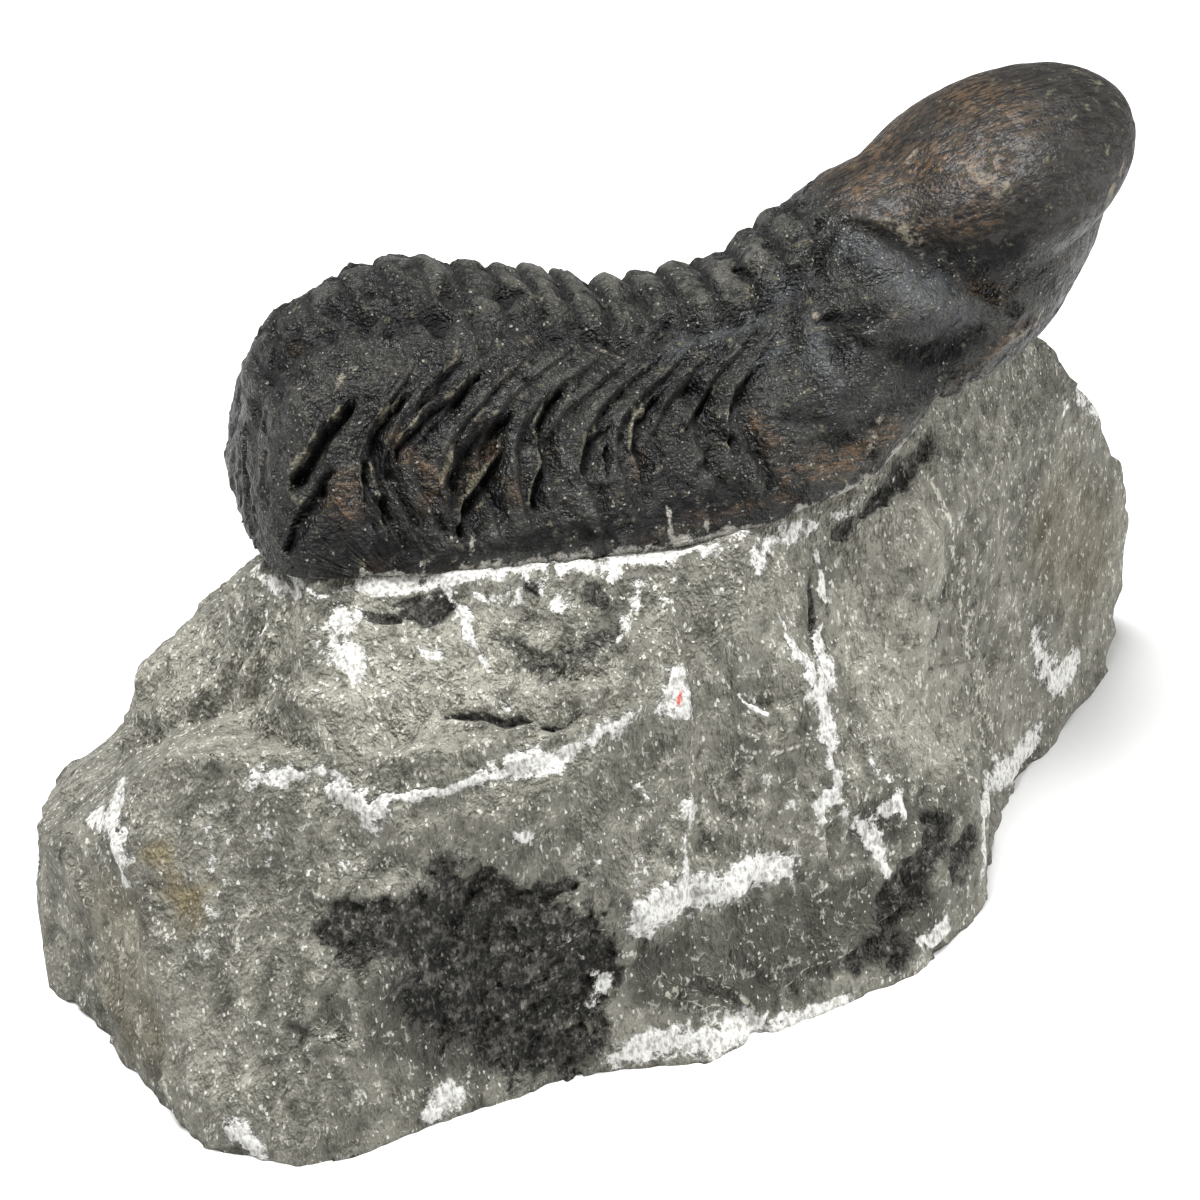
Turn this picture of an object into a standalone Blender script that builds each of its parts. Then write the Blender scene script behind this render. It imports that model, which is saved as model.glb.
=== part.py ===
"""A trilobite, petrified in black calcite, that lies on the block of limestone it was prepared from.

Two solids: `trilobite` (head shield, thorax and tail shield, grown together in stone) and `matrix`,
the rock. Lengths are in millimetres and angles in degrees until the points become meshes, in metres.
+X runs from the tail to the head, +Z is up, and the rock's flat underside is z = 0.
"""

import itertools
import math

import bpy
import numpy as np

MM = 0.001
ORIGIN = np.array([1.45, -2.64, 0.0])  # where the part's own origin lies in these axes
# The rock: lobes of stone round one centre on the underside, each closed in by the planes it broke along.
# A plane is a point on it, the compass direction it faces from +X, and how far it leans back from upright.
ROCK_CENTRE = np.array([0.0, -4.0, 0.0])
ROCK_ROUNDS, ROCK_STEPS = 120, 16
PEDESTAL_BREAKS = {
    "shelf below the thorax": ((-8.0, -12.8, 29.4), 268, 42),
    "front": ((-10.0, -23.3, 12.0), 267, 12),
    "front of the chest": ((5.0, -18.2, 19.5), 283, 19),
    "below the cheek": ((16.0, -13.4, 18.0), 304, 27),
    "foot below the cheek": ((19.3, -19.9, 0.0), 306, 8),
    "right side of the chest": ((24.3, -12.7, 0.0), 338, 11),
    "back right": ((25.0, 13.0, 14.0), 50, 18),
    "back": ((2.0, 17.5, 14.0), 93, 16),
    "back of the tail": ((-24.0, 1.0, 21.9), 138, 42),
    "back left": ((-29.6, 2.0, 15.5), 152, 16),
    "shoulder below the tail": ((-27.0, -5.0, 21.8), 194, 30),
    "front left": ((-27.0, -14.0, 14.0), 220, 12),
}
CHIN_BREAKS = {
    "below the chin": ((31.5, -1.4, 16.0), 312, 8),
    "brow below the chin": ((28.6, 0.6, 30.0), 312, 28),
    "right shoulder": ((34.6, 4.4, 26.0), 15, 37),
    "right end": ((40.2, 4.0, 18.0), 12, 24),
    "right foot": ((39.8, 7.0, 0.0), 8, -22),
    "back right": ((30.0, 14.0, 14.0), 62, 18),
    "back": ((2.0, 17.0, 14.0), 95, 18),
    "front": ((8.0, -13.0, 14.0), 262, 12),
    "left": ((-12.0, 0.0, 14.0), 180, 10),
}
BLOCK_BREAKS = {
    "top": ((-27.0, -12.0, 21.2), 95, 76),
    "top of the left end": ((-32.4, -5.5, 14.4), 142, 46),
    "upper left edge": ((-36.6, -8.0, 13.8), 186, 36),
    "left": ((-35.2, -17.6, 0.0), 204, 7),
    "left end": ((-39.3, -6.0, 0.0), 172, 5),
    "front left": ((-28.0, -21.4, 11.0), 246, 27),
    "front": ((-23.0, -28.5, 0.0), 268, 17),
    "front right": ((-18.8, -27.5, 0.0), 284, 15),
    "right": ((-4.0, -20.0, 18.0), 330, 30),
    "back right": ((5.0, 5.0, 8.0), 40, 20),
    "back": ((-30.0, 9.0, 6.0), 100, 20),
}
LUMP_SIZE, LUMP_HEIGHT = 9.0, 0.55

# The seat that the fossil lies on, in the body's own axes: (x, z of a point on it, slope towards the head).
SEAT = ((0.0, -1.25, -4.0), (3.0, -1.2, 8.5), (13.6, 0.8, 31.0))
CHIN_SEAT = 4.3
SEAT_GAP = 0.3  # between the fossil's belly and the rock

# The body leans over, away from its right flank, on the rock.
BODY_ROLL, BODY_HEIGHT = 8.0, 29.0

# The body from the tail's margin to the head's. Each station is a cross-section: x and z of its base
# line, the lean of its plane forward from upright, its half width, its height and its squareness.
STATIONS = (
    (-18.0, 0.2, -90, 11.9, 5.4, 3.2),
    (-17.7, 0.1, -66, 12.0, 6.0, 2.8),
    (-16.8, 0.0, -42, 12.0, 8.2, 2.4),
    (-15.3, -0.2, -20, 12.0, 12.15, 2.1),
    (-12.5, -0.4, -6, 12.0, 14.0, 1.95),
    (-9.0, -0.6, 0, 12.0, 13.8, 1.9),
    (-4.0, -0.9, 2, 12.0, 12.5, 1.9),
    (1.0, -1.1, 0, 12.0, 11.4, 1.9),
    (6.0, -0.8, -4, 12.0, 11.2, 1.9),
    (10.5, 0.2, -7, 12.0, 11.0, 1.9),
    (13.6, 0.9, -4, 11.5, 12.7, 1.9),
    (16.0, 2.2, 2, 10.7, 14.2, 1.9),
    (17.8, 3.4, 14, 9.8, 14.6, 1.8),
    (18.8, 4.1, 30, 9.1, 16.0, 1.65),
    (19.3, 4.4, 46, 8.8, 17.6, 1.6),
    (19.6, 4.4, 60, 8.6, 16.6, 1.5),
    (19.8, 4.4, 73, 8.5, 13.4, 1.4),
    (19.9, 4.4, 87, 8.4, 10.8, 1.3),
)
RING_PITCH = 2.32  # along the back, from one thorax ring to the next
THORAX_RINGS = 11
TAIL_RINGS = 6
THORAX_START = -10.9  # x of the back's crest where thorax and tail shield meet
AXIS_HALF_WIDTH = 4.1
SWEEP = 8.4  # how far the side plates run back from the axis to the shoulder of the flank
GLABELLA_CENTRE, GLABELLA_RADII, GLABELLA_TILT = (25.6, 0.0, 14.9), (10.1, 8.7, 7.1), 25
GLABELLA_BELOW = 0.78  # its underside is flatter than its top by this factor
EYE_CENTRE, EYE_RADII = (17.0, 8.0, 9.8), (3.4, 1.9, 1.8)
BODY_COLUMNS = 31
TAIL_ROW_STEP, HEAD_ROW_STEP = 1.0, 0.7  # in ring pitches
PLATE_ROWS = (0.0, 0.12, 0.35, 0.75)  # where the mesh has rows between one plate joint and the next
SLOT_DEPTHS = (1.0, 0.7, 0.35, 1.0, 1.0, 0.35, 0.8, 0.75, 0.8, 0.3, 0.6, 0.9)  # from the tail joint on


def noise(points, size, seed):
    """Smooth noise between -1 and 1: a random number on each corner of cubes of `size`, blended between."""
    cells = points / size
    low = np.floor(cells)
    part = cells - low
    part = part * part * (3 - 2 * part)
    total = np.zeros(points.shape[:-1])
    for corner in itertools.product((0.0, 1.0), repeat=3):
        mixed = np.sin((low + corner) @ (12.9898, 78.233, 37.719) + seed) * 43758.5453
        weight = np.prod(np.where(np.array(corner) > 0, part, 1 - part), axis=-1)
        total += weight * (2 * (mixed - np.floor(mixed)) - 1)
    return total


def smooth_least(values, softness):
    """The least of the values, with the corners between them rounded by `softness`."""
    values = np.stack(values)
    least = values.min(axis=0)
    return least - softness * np.log(np.exp((least - values) / softness).sum(axis=0))


def smooth_most(values, softness):
    return -smooth_least([-value for value in values], softness)


def ramp(value, start, end):
    """0 before `start`, 1 after `end`, and an S-curve between."""
    part = np.clip((value - start) / (end - start), 0, 1)
    return part * part * (3 - 2 * part)


def ridge(value, middle, width):
    """A bell of height 1 round `middle`."""
    return np.exp(-(((value - middle) / width) ** 2))


def facing(azimuth, lean):
    azimuth, lean = math.radians(azimuth), math.radians(lean)
    flat = math.cos(lean)
    return np.array([math.cos(azimuth) * flat, math.sin(azimuth) * flat, math.sin(lean)])


def laid_down(points):
    """Body points, or directions when their last axis is a normal, turned by the body's roll."""
    roll = math.radians(BODY_ROLL)
    across, up = math.cos(roll), math.sin(roll)
    turn = np.array([[1, 0, 0], [0, across, up], [0, -up, across]])
    return np.asarray(points) @ turn.T


def plane_reach(directions, point, normal):
    """How far each direction runs from the rock's centre to a plane: ((point - centre) . n) / (n . d)."""
    height = (np.asarray(point) - ROCK_CENTRE) @ normal
    return height / np.maximum(directions @ normal, height / 400)


def lobe_reach(directions, breaks, softness):
    planes = [plane_reach(directions, point, facing(*way)) for point, *way in breaks.values()]
    return smooth_least(planes, softness)


def seat_reach(directions):
    """The hollow that the belly lies in: a floor bent up towards the head, then level below the chin."""
    floors = []
    for x, z, slope in (*SEAT, (0.0, CHIN_SEAT, 0.0)):
        point = laid_down((x, 0, z - SEAT_GAP)) + (0, 0, BODY_HEIGHT)
        floors.append(plane_reach(directions, point, laid_down(facing(180, 90 - slope))))
    return np.minimum(np.max(floors[:-1], axis=0), floors[-1])


def rock_reach(directions):
    """The rock's surface as a distance from its centre: the farthest lobe, each its nearest plane."""
    lobes = [lobe_reach(directions, breaks, 0.5) for breaks in (PEDESTAL_BREAKS, CHIN_BREAKS, BLOCK_BREAKS)]
    stone = smooth_most(lobes, 0.4)
    lumps = LUMP_HEIGHT * noise(directions * stone[..., None], LUMP_SIZE, 3)
    return np.minimum(stone + lumps, seat_reach(directions))


def rock_points(rounds, steps):
    """Rings of points from the foot up to just below the top, and the top point."""
    azimuth = np.linspace(0, 2 * math.pi, rounds, endpoint=False)
    lift = np.linspace(0, math.pi / 2, steps + 1)[:-1, None]
    flat = np.cos(lift)
    sides = [flat * np.cos(azimuth), flat * np.sin(azimuth), np.sin(lift) + 0 * azimuth]
    directions = np.stack(sides, axis=-1)
    rings = ROCK_CENTRE + directions * rock_reach(directions)[..., None]
    up = np.array([[0.0, 0.0, 1.0]])
    return rings, ROCK_CENTRE + up * rock_reach(up)[:, None]


def curve_through(rows, count):
    """A Catmull-Rom curve through all rows, read at `count` even steps."""
    rows = np.array(rows, float)
    rows = np.vstack([2 * rows[0] - rows[1], rows, 2 * rows[-1] - rows[-2]])
    at = np.linspace(0, len(rows) - 3, count)
    start = np.minimum(at.astype(int), len(rows) - 4)
    t = (at - start)[:, None]
    a, b, c, d = (rows[start + k] for k in range(4))
    bend = 2 * a - 5 * b + 4 * c - d
    twist = 3 * b - a - 3 * c + d
    return 0.5 * (2 * b + (c - a) * t + bend * t**2 + twist * t**3)


def body_table():
    """Station columns from tail to head, and each row's ring number: 0 at the thorax, 11 at the head."""
    table = curve_through(STATIONS, 1200).T
    x, z, lean, _, height, _ = table
    crest_x = x + height * np.sin(np.radians(lean))
    crest_z = z + height * np.cos(np.radians(lean))
    length = np.concatenate([[0], np.cumsum(np.hypot(np.diff(crest_x), np.diff(crest_z)))])
    back = slice(0, int(np.argmax(crest_x)))
    return table, (length - np.interp(THORAX_START, crest_x[back], length[back])) / RING_PITCH


def swept_ring(plate, turned, first, last):
    """The ring number that each point of a side plate lies at: plates run back from the axis to the flank.

    The run-back starts 20 degrees from the crest, is whole at 62, eases a little on the way down the flank,
    comes later in the rear than near the head, and fades to nothing at the tail's and the head's margins.
    """
    bend = np.sin(np.radians(90) * np.clip((turned - 20) / 42, 0, 1)) ** (1.9 - 0.9 * ramp(plate, 2, 11))
    run_back = SWEEP / RING_PITCH * (bend - 0.16 * ramp(turned, 54, 90))
    fade = np.interp(plate, [first, 0, THORAX_RINGS, last], [0, 1, 1, 0])
    return plate - run_back * fade


def ellipsoid_reach(start, direction, centre, radii, tilt=0.0, below=1.0):
    """Distance along each ray from `start` to the far side of an ellipsoid, or 0 where it misses."""
    turn = math.radians(tilt)
    spin = np.array([[math.cos(turn), 0, math.sin(turn)], [0, 1, 0], [-math.sin(turn), 0, math.cos(turn)]])
    radii = np.array(radii)
    origin = (start - centre) @ spin.T / radii
    along = direction @ spin.T / radii
    origin[..., 2] /= below
    along[..., 2] /= below
    a = (along**2).sum(-1)
    b = (origin * along).sum(-1)
    inside = b * b - a * ((origin**2).sum(-1) - 1)
    return np.where(inside > 0, (-b + np.sqrt(np.maximum(inside, 0))) / a, 0)


def ring_shape(place):
    """One axial ring, from its rear furrow at 0 to its front one at 1: it rises fast and falls slowly."""
    return ramp(place, 0.0, 0.3) * (1 - 0.8 * ramp(place, 0.3, 1.0))


def slot_shape(place):
    """Across a joint between side plates: a thin lip at 0, the open slot, then the facet's slope to 1."""
    lips = 0.3 * ridge(place, 0, 0.05) + 0.3 * ridge(place, 1, 0.05)
    return lips - ramp(place, 0.02, 0.1) * (1 - ramp(place, 0.3, 0.8))


def body_points(plates, columns):
    """The body's upper side as a grid: rows follow the side plates from tail to head, columns cross it."""
    table, ring_at = body_table()
    first, last = ring_at[0], ring_at[-1]
    rows = np.concatenate([[first], plates[(plates > first) & (plates < last)], [last]])
    plate, across = np.meshgrid(rows, np.linspace(-90, 90, columns), indexing="ij")
    turned = np.abs(across)
    ring = swept_ring(plate, turned, first, last)
    x, z, lean, width, height, square = (np.interp(ring, ring_at, column) for column in table)
    angle, lean = np.radians(across), np.radians(lean)
    side, up = np.sin(angle), np.cos(angle)
    direction = np.stack([up * np.sin(lean), side, up * np.cos(lean)], axis=-1)
    base = np.stack([x, 0 * x, z], axis=-1)
    section = ((np.abs(side) / width) ** square + (up / height) ** square) ** (-1 / square)
    glabella = ellipsoid_reach(
        base, direction, GLABELLA_CENTRE, GLABELLA_RADII, GLABELLA_TILT, GLABELLA_BELOW
    )
    eye_centre = np.array(EYE_CENTRE) * np.stack([0 * x + 1, np.sign(across), 0 * x + 1], axis=-1)
    eyes = ellipsoid_reach(base, direction, eye_centre, EYE_RADII)
    reach = smooth_most([smooth_most([section, eyes], 0.6), glabella], 0.25)
    out = reach * np.sin(np.abs(angle))

    in_axis = ramp(ring, -TAIL_RINGS - 0.5, 0.5 - TAIL_RINGS)
    in_axis *= 1 - ramp(ring, THORAX_RINGS, THORAX_RINGS + 0.3)
    axis_width = AXIS_HALF_WIDTH * (0.45 + 0.55 * ramp(ring, -TAIL_RINGS - 1, 0.5))
    rings = 1 - ramp(out, axis_width - 0.6, axis_width + 0.3)
    pits = ridge((ring + 0.5) % 1.0, 0.6, 0.25)
    furrow = ridge(out, axis_width + 0.4, 0.8) * (0.35 + 0.5 * pits)
    relief = in_axis * (rings * (0.25 + 0.6 * ring_shape(ring % 1.0)) - furrow)

    in_plates = ramp(plate, -0.4, -0.1)
    in_plates *= 1 - ramp(plate, THORAX_RINGS + 0.6, THORAX_RINGS + 0.9)
    depth = np.array(SLOT_DEPTHS)[np.clip(np.floor(plate + 0.1), 0, THORAX_RINGS).astype(int)]
    slots = 1.15 * depth * ramp(turned, 32, 44) * (1 - ramp(turned, 62, 74))
    grooves = 0.3 * ramp(turned, 22, 32) * (1 - ramp(turned, 80, 89))
    relief += in_plates * slot_shape(plate % 1.0) * (slots + grooves)

    in_head = ramp(plate, THORAX_RINGS + 0.4, THORAX_RINGS + 1.5)
    relief += in_head * (0.35 * ridge(turned, 83, 3.5) - 0.35 * ridge(turned, 74, 4))
    points = base + direction * (reach + relief)[..., None]
    return laid_down(points) + (0, 0, BODY_HEIGHT)


def solid(name, points, faces, colour, roughness):
    """A named mesh object from points in millimetres, smooth but for its sharp edges."""
    mesh = bpy.data.meshes.new(name)
    mesh.from_pydata((points - ORIGIN) * MM, [], faces)
    mesh.shade_smooth()
    mesh.set_sharp_from_angle(angle=math.radians(38))
    material = bpy.data.materials.new(name)
    material.use_nodes = True
    shader = material.node_tree.nodes["Principled BSDF"]
    shader.inputs["Base Color"].default_value = (*colour, 1)
    shader.inputs["Roughness"].default_value = roughness
    shader.inputs["Metallic"].default_value = 0.0
    mesh.materials.append(material)
    thing = bpy.data.objects.new(name, mesh)
    bpy.context.scene.collection.objects.link(thing)
    return thing


def grid_faces(rows, columns, first=0, around=False):
    """Quads between neighbouring rows of a grid of points, turning outwards."""
    faces = []
    for row in range(rows - 1):
        for column in range(columns if around else columns - 1):
            a = first + row * columns + column
            b = first + row * columns + (column + 1) % columns
            faces.append((a, b, b + columns, a + columns))
    return faces


def make_matrix():
    """The block of limestone: a star-shaped shell of break planes on a flat foot."""
    rings, top = rock_points(ROCK_ROUNDS, ROCK_STEPS)
    points = np.concatenate([rings.reshape(-1, 3), top])
    faces = grid_faces(ROCK_STEPS, ROCK_ROUNDS, around=True)
    last = (ROCK_STEPS - 1) * ROCK_ROUNDS
    for step in range(ROCK_ROUNDS):
        faces.append((last + step, last + (step + 1) % ROCK_ROUNDS, len(points) - 1))
    faces.append(tuple(range(ROCK_ROUNDS))[::-1])
    return solid("matrix", points, faces, (0.21, 0.2, 0.185), 0.85)


def make_trilobite():
    """The body: the ornamented upper side, closed below by its flat belly between the two margins."""
    plated = (np.arange(-TAIL_RINGS, THORAX_RINGS + 1)[:, None] + PLATE_ROWS).ravel()
    tail = np.arange(-12, -TAIL_RINGS, TAIL_ROW_STEP)
    head = np.arange(THORAX_RINGS + 1, 32, HEAD_ROW_STEP)
    grid = body_points(np.concatenate([tail, plated, head]), BODY_COLUMNS)
    count, columns = grid.shape[:2]
    points = grid.reshape(-1, 3)
    faces = [face[::-1] for face in grid_faces(count, columns)]
    for row in range(count - 1):
        near, far = row * columns, (row + 1) * columns
        faces.append((near, near + columns - 1, far + columns - 1, far))
    faces.append(tuple(range(columns)))
    last = (count - 1) * columns
    faces.append(tuple(range(last, last + columns))[::-1])
    return solid("trilobite", points, faces, (0.025, 0.024, 0.026), 0.5)


def main():
    for thing in list(bpy.data.objects):
        bpy.data.objects.remove(thing)
    make_matrix()
    make_trilobite()


main()
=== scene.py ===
# %% [markdown]
# # A trilobite on its block of limestone
#
# The real thing is one stone. A trilobite, turned to black calcite, lies arched over the grey limestone
# that it was dug out of, and a preparator has cut the rock away around it with an air chisel. What the
# eye reads is rough and smooth, black and grey, and the chalky white of bruised stone.
#
# Both pieces are surfaces over two numbers. The rock is a distance from one centre in every direction,
# and the body is a row of cross-sections carried from the tail to the head. Each is worked out with
# numpy as whole arrays. Lengths here are in millimetres and angles in degrees until a mesh is made.

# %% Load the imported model, and note its box
import itertools
import math

import bpy
import numpy as np
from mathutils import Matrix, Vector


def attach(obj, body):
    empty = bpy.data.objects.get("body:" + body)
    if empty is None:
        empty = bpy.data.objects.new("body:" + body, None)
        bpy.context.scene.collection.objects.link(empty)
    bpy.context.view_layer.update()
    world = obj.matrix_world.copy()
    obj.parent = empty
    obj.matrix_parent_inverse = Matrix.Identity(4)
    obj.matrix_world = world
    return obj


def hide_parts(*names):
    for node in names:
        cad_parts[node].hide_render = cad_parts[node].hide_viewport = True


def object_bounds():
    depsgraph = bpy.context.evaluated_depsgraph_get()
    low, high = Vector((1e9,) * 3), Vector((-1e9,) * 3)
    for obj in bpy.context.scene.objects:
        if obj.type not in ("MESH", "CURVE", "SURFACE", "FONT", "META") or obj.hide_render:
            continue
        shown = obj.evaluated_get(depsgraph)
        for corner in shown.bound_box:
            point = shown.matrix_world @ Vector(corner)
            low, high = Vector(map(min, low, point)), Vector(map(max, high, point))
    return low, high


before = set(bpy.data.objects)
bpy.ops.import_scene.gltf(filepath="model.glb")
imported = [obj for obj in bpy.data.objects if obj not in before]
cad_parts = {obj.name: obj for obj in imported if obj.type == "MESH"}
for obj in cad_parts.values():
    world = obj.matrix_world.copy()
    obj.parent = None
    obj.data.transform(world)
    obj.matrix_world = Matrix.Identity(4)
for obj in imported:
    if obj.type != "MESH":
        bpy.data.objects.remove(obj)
cad_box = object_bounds()
print("box of the packed model, in metres:", cad_box)

MM = 0.001
ORIGIN = np.array([1.45, -2.64, 0.0])  # where the model's own origin lies in the drawing's axes

# %% [markdown]
# ## Soft tools for hard stone
#
# Broken stone needs three things: noise, so that no face is ruled flat, planes that meet along soft or
# sharp edges, and marks that follow a given line. Each is a short function on arrays of points, so
# that the same line of code serves a hundred thousand points at once.


# %% Noise, chips, ramps and ridges
CORNER_KEY, SCATTER = (12.9898, 78.233, 37.719), 43758.5453  # turn a cell's place into a random number


def noise(points, size, seed):
    """Smooth noise between -1 and 1: a random number on each corner of cubes of `size`, blended between.

    The random number of a corner is the fraction of sin(corner . key + seed) * scatter.
    """
    cells = points / size
    low = np.floor(cells)
    part = cells - low
    part = part * part * (3 - 2 * part)
    total = np.zeros(points.shape[:-1])
    for corner in itertools.product((0.0, 1.0), repeat=3):
        mixed = np.sin((low + corner) @ CORNER_KEY + seed) * SCATTER
        weight = np.prod(np.where(np.array(corner) > 0, part, 1 - part), axis=-1)
        total += weight * (2 * (mixed - np.floor(mixed)) - 1)
    return total


def layered(points, size, seed, layers=4, fall=0.5):
    """Noise added up over `layers`, each half the size of the one before and `fall` times as strong."""
    return sum(fall**k * noise(points, size / 2**k, seed + 7 * k) for k in range(layers))


def chips(points, size, seed, softness=0.03):
    """Broken facets: every cell of a jittered grid has a tilted plane of its own, in units of its size.

    height = sum of w (g . (p - c)) / sum of w, where c is a cell's centre, g its random slope and
    w = exp(-|p - c|^2 / softness). A small softness leaves sharp steps between facets.
    """
    cells = points / size
    low = np.floor(cells)
    total, weights = np.zeros(points.shape[:-1]), np.full(points.shape[:-1], 1e-30)
    for corner in itertools.product((-1.0, 0.0, 1.0), repeat=3):
        key = (low + corner) @ CORNER_KEY + seed
        draws = np.sin(key[..., None] + np.arange(6) * 1.7) * SCATTER
        draws = draws - np.floor(draws) - 0.5
        away = cells - low - corner - 0.5 - 0.8 * draws[..., :3]
        weight = np.exp(-(away**2).sum(-1) / softness)
        total += weight * (2 * draws[..., 3:] * away).sum(-1)
        weights += weight
    return total / weights


def ramp(value, start, end):
    """0 before `start`, 1 after `end`, and an S-curve between."""
    part = np.clip((value - start) / (end - start), 0, 1)
    return part * part * (3 - 2 * part)


def ridge(value, middle, width):
    """A bell of height 1 round `middle`."""
    return np.exp(-(((value - middle) / width) ** 2))


def smooth_least(values, softness):
    """The least of the values, with the corners between them rounded by `softness`."""
    values = np.stack(values)
    least = values.min(axis=0)
    return least - softness * np.log(np.exp((least - values) / softness).sum(axis=0))


def smooth_most(values, softness):
    return -smooth_least([-value for value in values], softness)


print("noise at three places:", noise(np.eye(3), 2.0, 1).round(2))


# %% Marks drawn along a line
def stroke(points, path):
    """How deep each point is inside a stroke: 1 on its line, 0 at its edge, and negative outside.

    `path` holds rows of (x, y, z, radius). On each piece of the line the nearest place is
    t = (point - a) . (b - a) / |b - a|^2, held between 0 and 1, and the depth there is
    1 - distance / radius. The deepest of the pieces counts.
    """
    path = np.array(path, float)
    best = np.full(points.shape[:-1], -9.0)
    for start, end in zip(path, path[1:] if len(path) > 1 else path):
        along = end[:3] - start[:3]
        t = np.clip((points - start[:3]) @ along / max(along @ along, 1e-9), 0, 1)
        away = np.linalg.norm(points - start[:3] - t[..., None] * along, axis=-1)
        best = np.maximum(best, 1 - away / (start[3] + t * (end[3] - start[3])))
    return best


def strokes(points, paths):
    return np.max([stroke(points, path) for path in paths], axis=0)


def shaken(points, size, far, seed):
    """Points moved about by noise, so that a line drawn through them comes out ragged."""
    return points + far * np.stack([noise(points, size, seed + k) for k in range(3)], axis=-1)


print("a stroke on its line and half way out:", stroke(np.array([[0, 0, 0], [0, 0.5, 0]]), [(0, 0, 0, 1)]))


# %% [markdown]
# ## The shape of the block
#
# A hammered block is closed in by the planes that it broke along. Three lobes of stone share a centre on
# the underside: the pedestal under the fossil, the chin that carries its head, and the lower block at the
# left front. Every plane has its own slow waves, so the arrises between planes wander as real ones do.

# %% The planes that the rock broke along
ROCK_CENTRE = np.array([0.0, -4.0, 0.0])
# Each plane is a point on it, the compass direction it faces from +X, and how far it leans back.
PEDESTAL_BREAKS = {
    "shelf below the thorax": ((-8.0, -12.8, 29.4), 268, 42),
    "front": ((-10.0, -23.3, 12.0), 267, 12),
    "front of the chest": ((5.0, -18.2, 19.5), 283, 19),
    "below the cheek": ((16.0, -13.4, 18.0), 304, 27),
    "foot below the cheek": ((19.3, -19.9, 0.0), 306, 8),
    "right side of the chest": ((24.3, -12.7, 0.0), 338, 11),
    "back right": ((25.0, 13.0, 14.0), 50, 18),
    "back": ((2.0, 17.5, 14.0), 93, 16),
    "back of the tail": ((-24.0, 1.0, 21.9), 138, 42),
    "back left": ((-29.6, 2.0, 15.5), 152, 16),
    "shoulder below the tail": ((-27.0, -5.0, 21.8), 194, 30),
    "front left": ((-27.0, -14.0, 14.0), 220, 12),
}
CHIN_BREAKS = {
    "below the chin": ((31.5, -1.4, 16.0), 312, 8),
    "brow below the chin": ((28.6, 0.6, 30.0), 312, 28),
    "right shoulder": ((34.6, 4.4, 26.0), 15, 37),
    "right end": ((40.2, 4.0, 18.0), 12, 24),
    "right foot": ((39.8, 7.0, 0.0), 8, -22),
    "back right": ((30.0, 14.0, 14.0), 62, 18),
    "back": ((2.0, 17.0, 14.0), 95, 18),
    "front": ((8.0, -13.0, 14.0), 262, 12),
    "left": ((-12.0, 0.0, 14.0), 180, 10),
}
BLOCK_BREAKS = {
    "top": ((-27.0, -12.0, 21.2), 95, 76),
    "top of the left end": ((-32.4, -5.5, 14.4), 142, 46),
    "upper left edge": ((-36.6, -8.0, 13.8), 186, 36),
    "left": ((-35.2, -17.6, 0.0), 204, 7),
    "left end": ((-39.3, -6.0, 0.0), 172, 5),
    "front left": ((-28.0, -21.4, 11.0), 246, 27),
    "front": ((-23.0, -28.5, 0.0), 268, 17),
    "front right": ((-18.8, -27.5, 0.0), 284, 15),
    "right": ((-4.0, -20.0, 18.0), 330, 30),
    "back right": ((5.0, 5.0, 8.0), 40, 20),
    "back": ((-30.0, 9.0, 6.0), 100, 20),
}
WAVE_SIZE, WAVE_HEIGHT = 6.5, 0.22
# The seat under the fossil, in the body's own axes: (x, z of a point on it, slope towards the head).
SEAT = ((0.0, -1.25, -4.0), (3.0, -1.2, 8.5), (13.6, 0.8, 31.0))
CHIN_SEAT = 4.3
SEAT_GAP = 0.05
BODY_ROLL, BODY_HEIGHT = 8.0, 29.0  # the body leans away from its right flank, on the rock


def facing(azimuth, lean):
    """The unit vector that looks to a compass direction from +X and up by `lean`."""
    azimuth, lean = math.radians(azimuth), math.radians(lean)
    flat = math.cos(lean)
    return np.array([math.cos(azimuth) * flat, math.sin(azimuth) * flat, math.sin(lean)])


def laid_down(points):
    """Body points, or directions, turned by the body's roll."""
    roll = math.radians(BODY_ROLL)
    across, up = math.cos(roll), math.sin(roll)
    turn = np.array([[1, 0, 0], [0, across, up], [0, -up, across]])
    return np.asarray(points) @ turn.T


def plane_reach(directions, point, normal):
    """How far each direction runs from the rock's centre to a plane: ((point - centre) . n) / (n . d)."""
    height = (np.asarray(point) - ROCK_CENTRE) @ normal
    return height / np.maximum(directions @ normal, height / 400)


def lobe_reach(directions, breaks, softness, seed):
    """The nearest of a lobe's planes, each with slow waves of its own along it."""
    reaches = []
    for turn, (point, *way) in enumerate(breaks.values()):
        reach = plane_reach(directions, point, facing(*way))
        spot = directions * np.minimum(reach, 60)[..., None]
        reaches.append(reach + WAVE_HEIGHT * layered(spot, WAVE_SIZE, seed + 3 * turn, 2))
    return smooth_least(reaches, softness)


def seat_reach(directions):
    """The hollow that the belly lies in: a floor bent up towards the head, then level below the chin."""
    floors = []
    for x, z, slope in (*SEAT, (0.0, CHIN_SEAT, 0.0)):
        point = laid_down((x, 0, z - SEAT_GAP)) + (0, 0, BODY_HEIGHT)
        floors.append(plane_reach(directions, point, laid_down(facing(180, 90 - slope))))
    return np.minimum(np.max(floors[:-1], axis=0), floors[-1])


print("planes:", [len(breaks) for breaks in (PEDESTAL_BREAKS, CHIN_BREAKS, BLOCK_BREAKS)])

# %% [markdown]
# ## What happened to the block
#
# A crack runs below the shelf, the chisel left a scooped scar and fine white grooves under the belly, and
# wherever the hammer touched, the stone is bruised to white powder. A dark, rough patch of older surface
# is left at the front. Each is a stroke: rows of (x, y, z, radius) in millimetres along the surface.

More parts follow.
